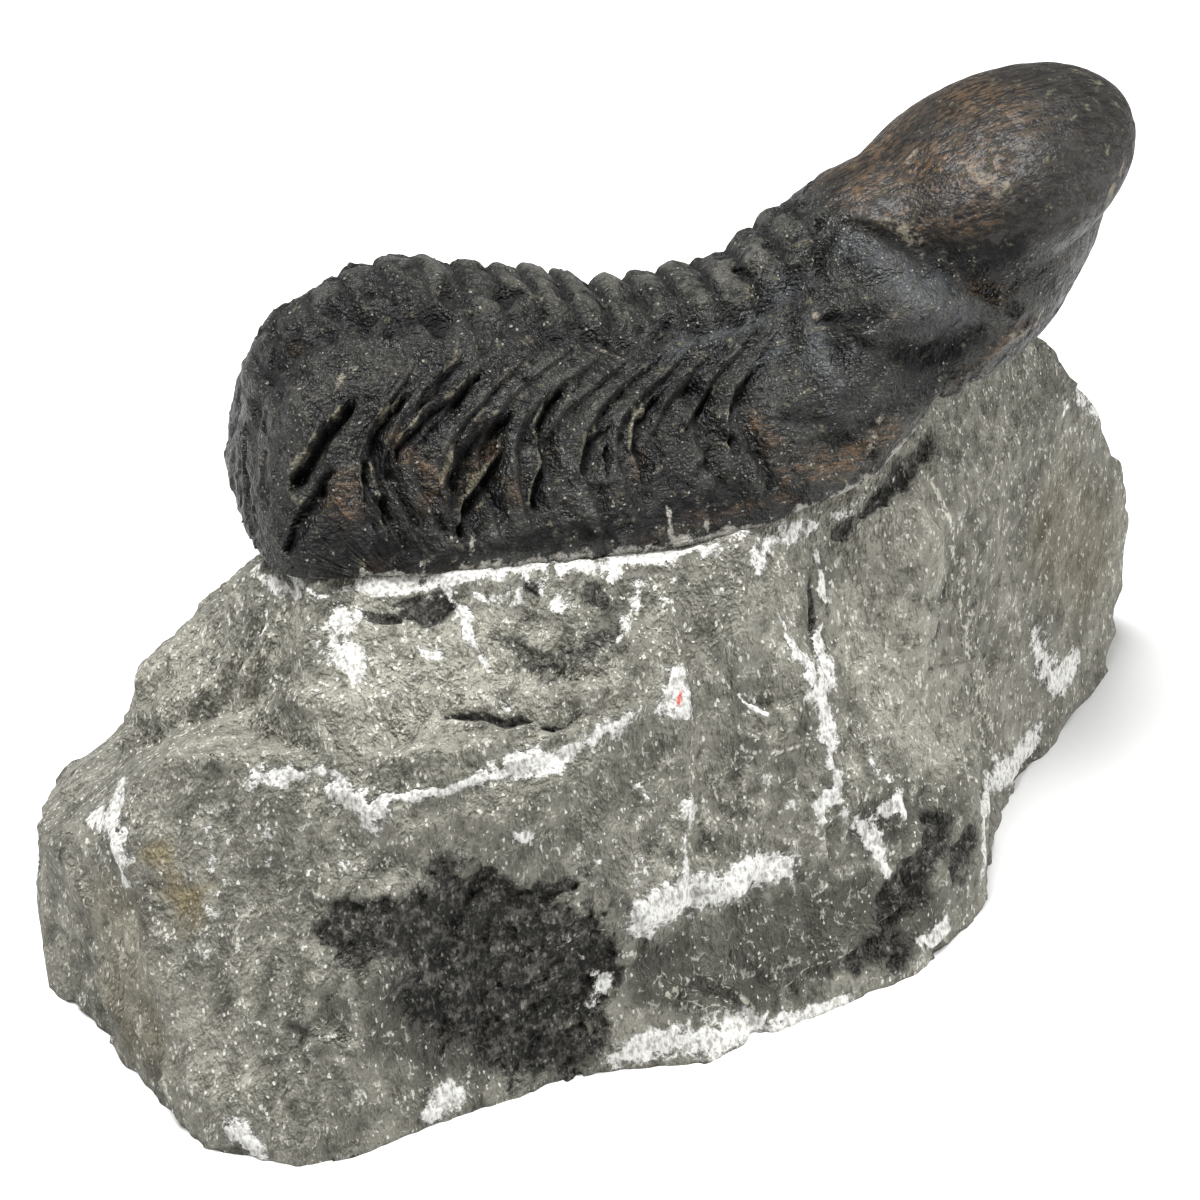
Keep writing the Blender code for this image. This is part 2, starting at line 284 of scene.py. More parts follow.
# %% Bruises, where the hammer and the chisel touched
BRUISES = (
    ((-32.9, -9.3, 16.2, 0.5), (-33.8, -12.4, 16.7, 1.0), (-33.8, -15.0, 15.7, 1.2),
     (-33.9, -15.6, 13.9, 0.8)),
    ((-35.2, -10.4, 14.5, 1.0), (-33.8, -13.0, 15.8, 0.9)),
    ((-25.1, -16.7, 21.1, 0.8), (-24.1, -17.0, 21.5, 0.8), (-22.9, -17.6, 21.7, 0.4),
     (-21.3, -18.5, 21.6, 0.4)),
    ((-21.5, -19.0, 20.7, 0.6), (-20.6, -19.2, 21.1, 0.6), (-19.7, -19.9, 20.7, 0.9),
     (-19.1, -20.4, 20.0, 1.0), (-18.5, -20.4, 20.5, 0.7)),
    ((-18.4, -20.3, 20.7, 0.3), (-15.2, -20.6, 21.0, 0.4), (-13.3, -20.3, 21.1, 0.4),
     (-11.5, -20.1, 21.0, 0.7), (-9.6, -19.9, 21.2, 0.8), (-8.0, -19.7, 21.4, 0.7),
     (-6.7, -19.4, 21.7, 0.3)),
    ((-5.8, -19.2, 21.8, 0.4), (-4.5, -19.0, 22.0, 0.8), (-3.5, -18.8, 22.4, 0.7), (-2.7, -18.5, 22.6, 0.4)),
    ((-0.2, -17.4, 23.7, 0.8), (-0.2, -18.1, 22.7, 1.1), (0.0, -18.4, 22.0, 0.9)),
    ((-10.6, -21.8, 17.5, 0.6),),
    ((-15.2, -14.7, 27.0, 0.3), (-14.7, -14.9, 26.7, 0.4), (-13.9, -15.0, 26.6, 0.3)),
    ((-19.5, -12.2, 29.2, 0.5), (-19.0, -13.2, 28.5, 0.8), (-19.8, -13.8, 27.8, 0.9),
     (-18.9, -14.5, 27.2, 0.8), (-19.1, -15.1, 26.5, 0.7)),
    ((-3.5, -23.8, 9.4, 0.8), (-3.0, -23.3, 10.7, 1.4), (-1.0, -22.7, 11.1, 1.6), (1.7, -22.3, 10.6, 1.3),
     (4.2, -21.4, 10.6, 1.3), (6.4, -20.9, 10.2, 1.1), (6.7, -21.1, 9.1, 0.6)),
    ((10.5, -13.9, 23.1, 0.5), (10.5, -14.6, 22.1, 0.8), (10.7, -15.2, 20.9, 0.9),
     (10.1, -16.2, 19.8, 0.9), (10.0, -16.7, 19.0, 0.5), (10.3, -17.4, 17.2, 0.8), (9.9, -18.0, 16.1, 0.4),
     (10.3, -18.4, 14.7, 0.5), (9.7, -19.0, 13.6, 0.9), (8.8, -19.3, 13.4, 0.6), (8.7, -19.6, 12.3, 0.4)),
    ((7.5, -14.7, 25.1, 0.3), (7.6, -15.0, 24.5, 0.3), (8.0, -15.3, 23.5, 0.3), (8.3, -15.8, 22.4, 0.4),
     (8.9, -15.9, 21.6, 0.6), (8.9, -16.4, 20.6, 0.6), (9.3, -16.6, 19.9, 0.6)),
    ((10.7, -11.4, 26.9, 0.3), (11.1, -11.7, 26.1, 0.3), (11.0, -12.6, 24.8, 0.3),
     (11.1, -12.9, 24.2, 0.25)),
    ((10.8, -19.2, 11.9, 0.5), (11.7, -19.2, 11.3, 0.7), (12.5, -19.5, 10.1, 0.7), (13.1, -20.0, 8.6, 0.7),
     (13.8, -20.3, 7.3, 0.5)),
    ((13.4, -18.8, 11.2, 0.6), (14.4, -18.5, 11.1, 0.7), (14.7, -18.7, 10.6, 0.5)),
    ((0.1, -20.8, 15.9, 0.65),),
    ((5.2, -13.2, 28.3, 0.7), (6.3, -13.4, 27.9, 0.7)),
    ((-8.2, -24.1, 10.0, 0.5), (-7.5, -24.5, 8.4, 0.3), (-6.6, -24.8, 6.8, 0.6), (-8.3, -25.2, 4.7, 0.5)),
    ((-17.9, -26.9, 1.1, 1.0), (-16.6, -26.4, 1.6, 1.0)),
    ((-5.6, -25.9, 1.2, 1.0), (-1.8, -25.8, 1.6, 1.2), (3.0, -25.5, 0.4, 1.3)),
    ((5.1, -25.1, 0.1, 0.8), (9.8, -24.4, 0.0, 0.9)),
    ((16.2, -21.5, 1.3, 0.7), (18.0, -20.5, 1.3, 0.9)),
    ((21.8, -16.8, 3.3, 0.8), (22.3, -14.7, 5.8, 0.9), (27.7, -7.5, 2.2, 1.6), (30.9, -4.6, 1.8, 1.0)),
    ((30.6, -3.2, 9.8, 0.9), (33.2, -1.8, 4.7, 1.4), (35.1, -0.2, 4.9, 1.0)),
    ((33.0, 2.5, 26.1, 0.7), (36.6, 5.5, 22.5, 1.2)),
    ((-29.4, -25.9, 1.5, 0.9), (-28.7, -26.8, 0.6, 1.0)),
)
CONTACT = (
    (-23.4, -5.0, 28.6, 0.5), (-22.4, -8.4, 28.6, 0.8), (-19.6, -11.4, 29.6, 0.8),
    (-15.5, -12.0, 29.9, 0.8), (-11.2, -12.0, 29.7, 0.9), (-6.3, -12.1, 29.5, 1.0),
    (-2.2, -12.5, 29.3, 1.2), (2.9, -12.3, 29.3, 1.1), (7.0, -11.9, 28.8, 1.3), (9.8, -11.2, 28.7, 0.8),
    (12.6, -10.6, 28.6, 0.4), (16.6, -9.9, 30.9, 0.3), (19.9, -6.9, 31.2, 0.2),
)
print(len(BRUISES), "bruises, and a contact band of", len(CONTACT), "points")

# %% Grooves, cracks, the scooped scar and painted shadows under the flakes
VEINS = (
    ((-12.9, -12.2, 29.5, 0.3), (-12.4, -13.0, 28.8, 0.3), (-11.9, -13.5, 28.1, 0.45),
     (-11.7, -14.4, 27.2, 0.45), (-11.6, -15.4, 26.0, 0.3)),
    ((-11.4, -12.7, 28.9, 0.3), (-9.7, -13.2, 28.5, 0.3), (-8.5, -13.3, 28.5, 0.25),
     (-7.0, -13.5, 28.2, 0.35), (-6.1, -13.7, 27.9, 0.45), (-4.6, -13.8, 27.7, 0.3)),
    ((-6.1, -13.7, 27.9, 0.45), (-6.6, -14.1, 27.4, 0.45), (-7.3, -14.4, 27.1, 0.35),
     (-7.7, -15.0, 26.4, 0.25)),
    ((-9.5, -13.0, 28.7, 0.25), (-9.2, -13.6, 28.0, 0.25), (-8.9, -14.1, 27.5, 0.25),
     (-9.5, -14.8, 26.6, 0.2)),
    ((-1.4, -13.8, 27.9, 0.5), (-2.0, -14.5, 27.2, 0.6), (-2.5, -15.0, 26.5, 0.5),
     (-3.1, -15.6, 25.9, 0.35), (-4.3, -16.1, 25.4, 0.25)),
    ((-6.9, -13.1, 28.5, 0.4), (-6.0, -13.3, 28.2, 0.4), (-5.1, -13.3, 28.2, 0.3)),
    ((-0.7, -14.6, 27.1, 0.4), (0.2, -14.3, 27.5, 0.5), (1.3, -13.7, 28.1, 0.4), (2.8, -13.1, 28.6, 0.3)),
    ((-0.5, -14.6, 27.1, 0.25), (-0.1, -15.0, 26.6, 0.25), (0.3, -15.6, 25.9, 0.2)),
    ((-12.3, -16.6, 24.8, 0.2), (-11.6, -16.5, 24.9, 0.2), (-10.8, -16.8, 24.5, 0.2),
     (-10.5, -17.6, 23.9, 0.2)),
    ((-0.1, -21.0, 15.5, 0.2), (-0.5, -21.6, 14.1, 0.2), (-0.6, -22.0, 12.9, 0.15)),
    ((3.3, -14.2, 27.7, 0.2), (3.6, -14.9, 26.8, 0.2), (4.2, -15.3, 26.2, 0.25), (5.2, -15.5, 25.4, 0.2)),
    ((3.8, -14.2, 27.6, 0.2), (4.5, -14.8, 26.9, 0.2), (5.5, -15.1, 25.9, 0.2), (6.1, -15.1, 25.5, 0.2)),
    ((4.2, -17.5, 22.0, 0.25), (4.7, -17.7, 21.3, 0.25), (5.7, -17.8, 20.3, 0.25)),
    ((-23.0, -8.9, 27.0, 0.25), (-23.0, -9.6, 26.6, 0.3), (-23.2, -9.9, 26.1, 0.25)),
)
CRACKS = (
    ((-14.4, -17.3, 24.0, 0.2), (-13.2, -17.5, 23.8, 0.25), (-12.1, -17.8, 23.6, 0.3),
     (-11.0, -18.1, 23.5, 0.34), (-9.9, -18.3, 23.3, 0.3), (-9.2, -18.4, 23.0, 0.28),
     (-7.9, -18.7, 22.6, 0.25), (-7.1, -18.6, 22.7, 0.22), (-6.2, -18.4, 23.0, 0.2),
     (-5.4, -18.2, 23.1, 0.22), (-4.8, -18.1, 23.3, 0.2)),
    ((-18.0, -13.1, 28.8, 0.25), (-17.2, -13.3, 28.6, 0.45), (-16.4, -13.4, 28.5, 0.45),
     (-15.8, -13.5, 28.4, 0.3)),
    ((-11.0, -13.7, 27.9, 0.2), (-10.5, -13.8, 27.7, 0.4), (-9.7, -13.9, 27.7, 0.4)),
    ((10.2, -12.4, 26.0, 0.25), (10.3, -13.2, 24.6, 0.4), (10.2, -13.9, 23.4, 0.3)),
)
SCAR = (
    (-10.6, -14.6, 26.9, 0.5), (-9.4, -14.8, 26.6, 0.6), (-8.8, -15.6, 25.8, 0.9),
    (-7.1, -15.9, 25.5, 1.1), (-4.9, -15.7, 25.8, 1.1), (-3.4, -15.2, 26.3, 0.9),
)
# Painted shadows: the dark undersides of lifted flakes, each a stroke.
FLAKE_SHADOWS = (
    ((-15.9, -13.3, 28.6, 0.2), (-15.0, -13.2, 28.8, 0.7), (-14.1, -13.2, 28.6, 1.0),
     (-13.2, -13.1, 28.7, 1.0), (-12.7, -13.2, 28.6, 0.5)),
    ((-16.1, -12.9, 29.1, 0.2), (-15.3, -12.8, 29.2, 0.35), (-14.5, -12.7, 29.3, 0.3)),
    ((-4.8, -13.2, 28.3, 0.6), (-4.1, -13.4, 28.2, 0.9), (-3.7, -13.6, 28.0, 0.7)),
    ((-8.4, -13.0, 28.8, 0.3), (-7.8, -13.1, 28.7, 0.5), (-7.3, -13.1, 28.6, 0.4)),
)
print(len(VEINS), "veins,", len(CRACKS), "cracks,", len(FLAKE_SHADOWS), "dark flakes")

# %% The dark patch at the front, and the dark corner
DARK_PATCH = (
    ((-21.3, -22.4, 13.0, 2.2), (-18.4, -23.0, 12.8, 3.0), (-15.6, -22.9, 12.4, 4.0),
     (-12.3, -23.2, 11.4, 4.6), (-9.9, -24.0, 9.8, 4.2), (-8.6, -24.6, 8.0, 3.2)),
    ((-16.6, -24.2, 9.4, 3.0), (-13.2, -24.9, 7.0, 4.4), (-9.8, -25.1, 5.6, 3.8)),
    ((-13.5, -25.7, 3.4, 2.0), (-12.0, -25.7, 2.8, 2.6), (-8.8, -25.7, 2.8, 2.4)),
)
DARK_CORNER = (
    ((17.9, -18.3, 8.6, 1.6), (16.8, -19.6, 7.0, 2.2), (14.4, -21.0, 5.0, 1.8)),
    ((19.4, -19.0, 5.0, 1.6), (20.5, -17.8, 6.4, 1.2)),
    ((12.6, -10.9, 28.0, 0.7), (14.4, -10.9, 29.2, 0.8), (16.6, -10.2, 30.4, 0.9), (19.9, -7.2, 30.8, 0.8)),
    ((11.5, -22.3, 2.6, 1.2), (14.0, -21.9, 1.6, 1.2)),
)
print("dark areas:", len(DARK_PATCH) + len(DARK_CORNER))

# %% Ledges and crumbs
# Thin edges of broken layers, as rows of (x, y, z): a pale lip, partly a painted highlight, with a small step
# below it.
LEDGES = (
    ((-18.0, -20.7, 20.3), (-15.3, -20.8, 20.7), (-11.5, -20.2, 21.1), (-8.5, -19.8, 21.4),
     (-5.2, -19.4, 21.7), (-2.6, -18.8, 22.3)),
    ((-22.4, -15.6, 24.7), (-19.9, -16.8, 24.8), (-16.7, -16.8, 24.9), (-13.8, -17.3, 24.4)),
    ((-6.5, -18.4, 23.5), (-4.9, -18.2, 23.7), (-2.8, -17.8, 24.0), (-1.1, -17.0, 25.0)),
    ((0.6, -14.4, 27.4), (0.7, -16.0, 25.5), (0.8, -18.0, 22.4), (0.6, -19.8, 18.4), (0.0, -21.2, 14.9),
     (-0.5, -22.6, 11.3)),
    ((6.1, -23.9, 2.6), (6.9, -23.3, 3.3), (9.1, -22.7, 3.4), (11.4, -22.3, 3.2), (12.8, -21.7, 4.1)),
    ((-2.1, -25.1, 4.6), (-0.1, -24.4, 5.6), (2.8, -24.7, 3.0), (4.0, -25.3, 0.5)),
    ((-1.8, -25.0, 4.6), (0.5, -25.2, 3.1), (2.9, -25.1, 1.9)),
    ((4.3, -19.0, 18.2), (6.5, -18.6, 17.5), (8.8, -18.1, 16.8)),
    ((1.0, -19.6, 18.9), (2.2, -20.3, 16.0), (3.8, -20.4, 14.2)),
    ((19.1, -8.8, 29.1), (20.1, -9.5, 26.3), (21.6, -9.1, 22.6), (22.5, -9.2, 17.6), (23.4, -9.6, 11.9),
     (25.3, -8.8, 6.4)),
    ((21.8, -9.4, 19.6), (22.8, -9.6, 14.6), (24.7, -8.5, 9.9), (26.5, -7.8, 5.4)),
    ((-12.1, -15.1, 26.3), (-10.1, -15.7, 25.7), (-7.8, -16.3, 25.0), (-5.0, -16.7, 24.8),
     (-3.1, -16.0, 25.5), (-2.0, -14.9, 26.7)),
    ((-29.6, -7.8, 18.0), (-27.5, -7.5, 20.1), (-25.2, -8.5, 23.2), (-23.4, -8.9, 26.2)),
    ((-27.1, -11.4, 21.1), (-25.0, -10.5, 22.7), (-23.3, -10.7, 25.6), (-22.1, -10.2, 28.0)),
    ((-30.2, -2.2, 17.3), (-28.5, -3.1, 20.1), (-26.7, -3.3, 22.3)),
    ((-33.4, -13.1, 17.2), (-34.2, -15.2, 14.4), (-34.5, -16.0, 9.4), (-34.7, -17.2, 5.5),
     (-33.9, -20.0, 2.9), (-33.0, -22.6, 0.8)),
)
# Rows of small crumbs that follow where a flake came away.
CRUMBS = (
    ((-8.3, -21.9, 16.7, 0.4), (-6.0, -22.3, 15.0, 0.6), (-3.6, -22.8, 12.6, 0.8)),
    ((-6.4, -21.4, 17.4, 0.4), (-4.3, -22.0, 15.0, 0.6), (-2.6, -22.7, 12.3, 0.7)),
    ((-3.0, -20.4, 18.9, 0.4), (-2.2, -21.2, 16.2, 0.5), (-1.6, -22.5, 12.3, 0.6)),
    ((-20.7, -19.7, 20.0, 0.5), (-21.2, -20.3, 18.3, 0.5), (-21.8, -21.0, 16.6, 0.4)),
    ((-22.3, -19.3, 19.3, 0.6), (-22.9, -20.0, 17.6, 0.6), (-23.6, -20.8, 15.7, 0.5)),
    ((-24.8, -18.3, 19.6, 0.7), (-25.6, -19.4, 16.0, 0.9), (-26.4, -21.2, 10.0, 0.8),
     (-26.6, -23.5, 4.0, 0.7)),
    ((-28.4, -17.2, 18.6, 0.8), (-29.4, -20.0, 12.0, 0.8), (-29.8, -22.6, 6.0, 0.7)),
    ((-23.0, -23.5, 10.0, 0.7), (-23.2, -25.5, 5.0, 0.9), (-22.0, -27.5, 1.5, 0.8)),
    ((4.0, -18.8, 18.6, 0.6), (6.0, -19.6, 14.4, 0.6), (8.6, -19.6, 12.6, 0.6)),
    ((12.4, -16.0, 17.8, 0.7), (13.4, -17.4, 13.6, 0.9), (15.0, -18.0, 10.8, 0.7)),
)
print(len(LEDGES), "ledges and", len(CRUMBS), "rows of crumbs")

# %% Stains, the valley, and broad tones: the stone's own, and painted light and shade
STAIN = ((-31.6, -17.0, 16.2, 1.4), (-30.4, -18.3, 14.0, 2.0))
WARM = (
    ((-35.0, -16.0, 10.0, 5.0), (-34.0, -18.0, 5.0, 5.0)),
    ((33.0, -1.0, 18.0, 6.0), (37.0, 3.0, 11.0, 6.0)),
)
VALLEY = (
    (-31.4, -4.6, 15.2, 2.0), (-29.5, -6.9, 17.8, 2.0), (-26.8, -9.1, 20.9, 1.8),
    (-24.3, -12.0, 23.3, 1.6), (-22.0, -13.6, 26.2, 1.4), (-20.1, -14.1, 27.5, 0.8),
)
# (tone, path), above zero for paler and below for darker. Some zones are the stone's own paler and darker
# places, and some are painted light and shade: paler on the shelf that faces the light above, darker along
# the valley crease, and lighter or darker on whole faces as the light falls on them.
STONE_AND_LIGHT_TONES = (
    (0.6, ((-20.0, -14.0, 26.0, 4.0), (-12.0, -16.0, 25.5, 3.5), (-5.0, -16.5, 25.0, 2.5))),
    (0.3, ((-24.0, -12.0, 23.0, 4.0), (-28.0, -12.5, 20.5, 3.0))),
    (0.5, ((-28.7, -2.6, 19.7, 4.0), (-25.7, -8.8, 22.3, 3.0))),
    (-0.7, ((-23.0, -12.7, 25.2, 0.8), (-21.4, -14.0, 26.4, 1.1), (-20.4, -14.4, 26.9, 1.0))),
    (-1.5, ((-1.5, -24.5, 6.0, 3.5), (4.0, -23.5, 5.5, 4.0), (10.0, -22.0, 5.0, 3.6),
     (14.5, -21.0, 4.0, 3.0))),
    (-0.8, ((12.5, -18.5, 11.0, 2.5), (16.0, -17.5, 10.0, 3.0), (19.5, -16.0, 9.0, 2.5))),
    (-0.35, ((-8.0, -20.8, 19.0, 2.0), (-1.0, -20.0, 18.5, 2.5), (3.0, -19.5, 17.0, 3.0))),
    (0.6, ((14.5, -11.5, 27.5, 2.5), (16.5, -11.0, 26.0, 3.0), (18.5, -10.5, 23.0, 3.0))),
    (1.0, ((14.0, -12.5, 22.0, 3.5), (16.5, -13.5, 17.0, 4.5), (18.5, -14.5, 12.0, 3.0))),
    (-0.3, ((31.8, -0.3, 19.6, 5.0), (38.7, 4.2, 10.0, 5.0), (33.0, -1.0, 10.0, 4.0))),
    (-1.0, ((-20.5, -23.8, 10.5, 1.8), (-18.5, -25.2, 7.0, 2.8), (-14.5, -26.0, 3.6, 2.4))),
    (0.4, ((-33.0, -16.0, 10.0, 2.5), (-31.0, -19.5, 7.0, 3.0), (-29.0, -23.0, 4.0, 3.0))),
)
RED_SPOTS = (((-0.1, -18.2, 22.4, 0.22),), ((0.1, -18.1, 22.9, 0.18),))
print(len(STONE_AND_LIGHT_TONES), "zones of tone")


# %% [markdown]
# ## From planes to broken stone
#
# The reach of the planes is only the start. Fracture surfaces carry low steps, like the contour lines of a
# map, so slow noise is cut into terraces. Coarse and fine noise roughen it, and the strokes sink the crack,
# the scar and the grooves. All of it moves points along their own direction, so the shell stays closed.


# %% Broken faces, terraces and ledges
BIG_CHIP, BROAD_CHIP, NARROW_CHIP = 9.0, 3.6, 1.3
LEDGE_SHIFT, LEDGE_HEIGHT = 0.35, 0.32


def terraces(value, step):
    """Value cut into steps: flat treads, and a quick rise over the last fifth of each step."""
    level = np.floor(value / step)
    return (level + ramp(value / step - level, 0.8, 1.0)) * step


def ledge_sides(spots, paths):
    """(side, nearness) to the nearest ledge: side runs from -1 to 1 across its line, nearness is 1 on it.

    Two copies of the line are moved apart, and the difference of the distances to them is the side.
    """
    side, nearness = np.full((2, *spots.shape[:-1]), -1.0)
    for path in paths:
        line = np.array([(*point, 1.0) for point in path])
        across = np.cross(line[-1, :3] - line[0, :3], line[:, :3].mean(axis=0) - ROCK_CENTRE)
        across *= np.copysign(LEDGE_SHIFT / np.linalg.norm(across), across[2])
        above, below = stroke(spots - across, line), stroke(spots + across, line)
        near = (above + below) / 2 + LEDGE_SHIFT
        side = np.where(near > nearness, np.clip((above - below) / (2 * LEDGE_SHIFT), -1, 1), side)
        nearness = np.maximum(nearness, near)
    return side, nearness


def broken_face(spots):
    """(height, shade) of the fracture surface: facets of three sizes, fine grit and low terraces. The shade
    is a tone with painted light and shade in it.
    """
    calm = ramp(noise(spots, 7.0, 30), -0.5, 0.5)
    big, broad = chips(spots, BIG_CHIP, 31, 0.05), chips(spots, BROAD_CHIP, 32)
    narrow = chips(spots * (1, 1, 0.45), NARROW_CHIP, 33)
    height = 0.7 * big + (0.35 + 0.35 * calm) * broad + (0.05 + 0.17 * calm) * narrow
    height += 0.06 * layered(spots, 1.0, 5, 2) + 0.5 * terraces(0.5 * layered(spots, 6.0, 34, 3), 0.22)
    # Painted shade: raised facets are painted lighter and sunk ones darker, over a slow random tone.
    shade = 0.15 * layered(spots, 6.0, 81, 3) + 0.2 * broad + 0.6 * narrow
    patchy = 0.3 * layered(spots, 3.0, 82, 2)
    # The marked zones add tone: partly the stone's own, partly painted light and shade on whole faces.
    for tone, path in STONE_AND_LIGHT_TONES:
        shade += tone * ramp(stroke(spots, path) + patchy, -0.1, 0.5)
    return height, shade


print("heights of 0.5, 0.8, 0.9 and 1 on a terrace:", terraces(np.array([0.5, 0.8, 0.9, 1]), 1.0).round(2))


# %% White, dark and stained marks
def stone_marks(spots):
    """(depth, marks): how far the marks sink the surface, and each mark, above zero where it covers."""
    ragged = shaken(shaken(spots, 2.0, 0.4, 41), 0.7, 0.25, 44)
    wavy = shaken(spots, 1.2, 0.22, 46)
    bruise = strokes(ragged, BRUISES) + 0.1
    strands = 0.7 * noise(wavy * (0.3, 0.9, 2.4), 0.8, 47)
    near_side, far_side = stroke(wavy, CONTACT), stroke(wavy * (1, -1, 1), CONTACT)
    contact = np.maximum(near_side, far_side) - 0.16 + 1.2 * strands
    # Where the painted shadows under lifted flakes lie; their pale rims go with the chalk.
    lens = strokes(wavy, FLAKE_SHADOWS)
    rim = 0.15 - 3 * np.abs(lens + 0.1)
    crumbs = 0.5 * strokes(wavy, CRUMBS) - 0.45
    chalk = np.maximum.reduce([bruise, contact, strokes(wavy, VEINS), rim, crumbs])

    patch = 1.8 * strokes(ragged, DARK_PATCH) + 0.5 * layered(spots, 2.2, 51, 4, 0.8)
    corner = 1.3 * strokes(ragged, DARK_CORNER) + 0.7 * layered(spots, 1.8, 52, 3)
    scar, crack = stroke(ragged, SCAR), strokes(wavy, CRACKS)
    # Dark: the dark patch and corner, the scar, the cracks, and painted shadow under the flakes.
    dark = np.maximum.reduce([patch, corner, 2.2 * lens - 0.1, 0.6 * scar, 2.4 * crack - 0.2])

    depth = 0.6 * ramp(crack, 0.0, 0.7) + 0.4 * ramp(stroke(spots, VALLEY), 0, 1) + 0.25 * ramp(lens, 0, 0.3)
    depth += 0.35 * ramp(scar, -0.1, 0.6) * (1 + chips(spots, 1.1, 62))
    rugged = ramp(np.maximum(patch, corner), 0.0, 0.5)
    depth += 0.35 * rugged * (1 + 1.5 * chips(spots, 1.4, 61)) - 0.1 * ramp(bruise, 0, 0.6)
    side, nearness = ledge_sides(wavy, LEDGES)
    depth -= LEDGE_HEIGHT * side * ramp(nearness, -0.3, 0.9)

    stain = ramp(stroke(spots, STAIN) + 0.5 * layered(spots, 1.5, 71, 3), 0, 1)
    stain = np.maximum(stain, 0.3 * ramp(strokes(spots, WARM), 0, 0.6))
    marks = {"chalk": chalk, "dark": dark, "stain": stain, "ledge": side, "near ledge": nearness}
    marks["red"] = ramp(strokes(spots, RED_SPOTS), -0.1, 0.3)
    return depth, marks


def rock_surface(directions):
    """Distance from the rock's centre for each direction, and its markings, held between -1 and 1."""
    lobes = enumerate((PEDESTAL_BREAKS, CHIN_BREAKS, BLOCK_BREAKS))
    reach = smooth_most([lobe_reach(directions, breaks, 0.09, 11 * k) for k, breaks in lobes], 0.12)
    seat = seat_reach(directions)
    spots = ROCK_CENTRE + directions * np.minimum(reach, seat)[..., None]
    height, shade = broken_face(spots)
    depth, marks = stone_marks(spots)
    marks["shade"] = shade
    marks = {name: np.clip(values, -1, 1) for name, values in marks.items()}
    return np.minimum(reach + height - depth, seat), marks


print("straight to the front the rock reaches", rock_surface(np.array([[0, -1.0, 0]]))[0].round(1), "mm")


# %% A grid of directions, closer together at the front, where the rock is seen
FRONT_ROUNDS, BACK_ROUNDS = 510, 110
FRONT_FROM, FRONT_TO = -195, 0  # degrees from +X
FACE_STEPS, TOP_STEPS, TOP_FROM = 130, 16, 66


def rock_grid():
    """Unit vectors round the rock from its foot to near its top: rows climb, columns go round."""
    front = np.linspace(FRONT_FROM, FRONT_TO, FRONT_ROUNDS, endpoint=False)
    back = np.linspace(FRONT_TO, 360 + FRONT_FROM, BACK_ROUNDS, endpoint=False)
    azimuth = np.radians(np.concatenate([front, back]))
    face = np.linspace(0, TOP_FROM, FACE_STEPS, endpoint=False)
    top = np.linspace(TOP_FROM, 90, TOP_STEPS, endpoint=False)
    lift = np.radians(np.concatenate([face, top]))[:, None]
    flat = np.cos(lift)
    sides = [flat * np.cos(azimuth), flat * np.sin(azimuth), np.sin(lift) + 0 * azimuth]
    return np.stack(sides, axis=-1)


directions = rock_grid()
reach, rock_marks = rock_surface(directions)
rock_rings = ROCK_CENTRE + directions * reach[..., None]
print("rock grid", rock_rings.shape, "reach from", reach.min().round(1), "to", reach.max().round(1), "mm")


# %% [markdown]
# ## Turning a grid into a mesh
#
# A grid of points becomes quads between neighbouring rows. Ring after ring of the rock closes on itself,
# and a fan closes its top and its flat foot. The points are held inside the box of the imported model, and
# every marking is stored on the points as an attribute that the material can read.


# %% Mesh helpers
def grid_faces(rows, columns, around=False):
    """Quads between neighbouring rows of a grid of points, turning outwards."""
    across = columns if around else columns - 1
    row, column = np.meshgrid(np.arange(rows - 1), np.arange(across), indexing="ij")
    a = row * columns + column
    b = row * columns + (column + 1) % columns
    return np.stack([a, b, b + columns, a + columns], axis=-1).reshape(-1, 4)


def held_in_box(points):
    """Points in metres round the model's origin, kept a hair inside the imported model's box."""
    low, high = np.array(cad_box, float).reshape(2, 3) + np.array([[2e-5], [-2e-5]])
    low[2] = 0.0
    return np.clip((points - ORIGIN) * MM, low, high)


def add_piece(name, points, faces, marks, node):
    """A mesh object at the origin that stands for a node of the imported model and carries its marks."""
    mesh = bpy.data.meshes.new(name)
    mesh.from_pydata(held_in_box(points), [], faces)
    mesh.shade_smooth()
    for mark, values in marks.items():
        attribute = mesh.attributes.new(mark, "FLOAT", "POINT")
        attribute.data.foreach_set("value", values.astype(np.float32))
    piece = bpy.data.objects.new(name, mesh)
    bpy.context.scene.collection.objects.link(piece)
    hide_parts(node)
    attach(piece, "root")
    mesh.calc_loop_triangles()
    print(name, len(mesh.vertices), "points,", len(mesh.loop_triangles), "triangles")
    return piece


print("faces of 3 by 3 points:", len(grid_faces(3, 3)), "flat,", len(grid_faces(3, 3, True)), "around")


# %% The block
def make_rock():
    """The rock's grid, closed by a fan round its highest point and another round its centre underneath."""
    steps, rounds = rock_rings.shape[:2]
    up = np.array([[[0.0, 0.0, 1.0]]])
    peak = ROCK_CENTRE + up * seat_reach(up)[..., None]
    points = np.concatenate([rock_rings.reshape(-1, 3), peak.reshape(-1, 3), ROCK_CENTRE[None]])
    round_ = np.arange(rounds)
    next_, last, top, foot = (round_ + 1) % rounds, (steps - 1) * rounds, len(points) - 2, len(points) - 1
    crown = np.stack([last + round_, last + next_, 0 * round_ + top], axis=-1)
    sole = np.stack([next_, round_, 0 * round_ + foot], axis=-1)
    faces = grid_faces(steps, rounds, around=True).tolist() + crown.tolist() + sole.tolist()
    marks = {name: np.append(values.ravel(), [0, 0]) for name, values in rock_marks.items()}
    return add_piece("limestone_block", points, faces, marks, "matrix")


rock = make_rock()

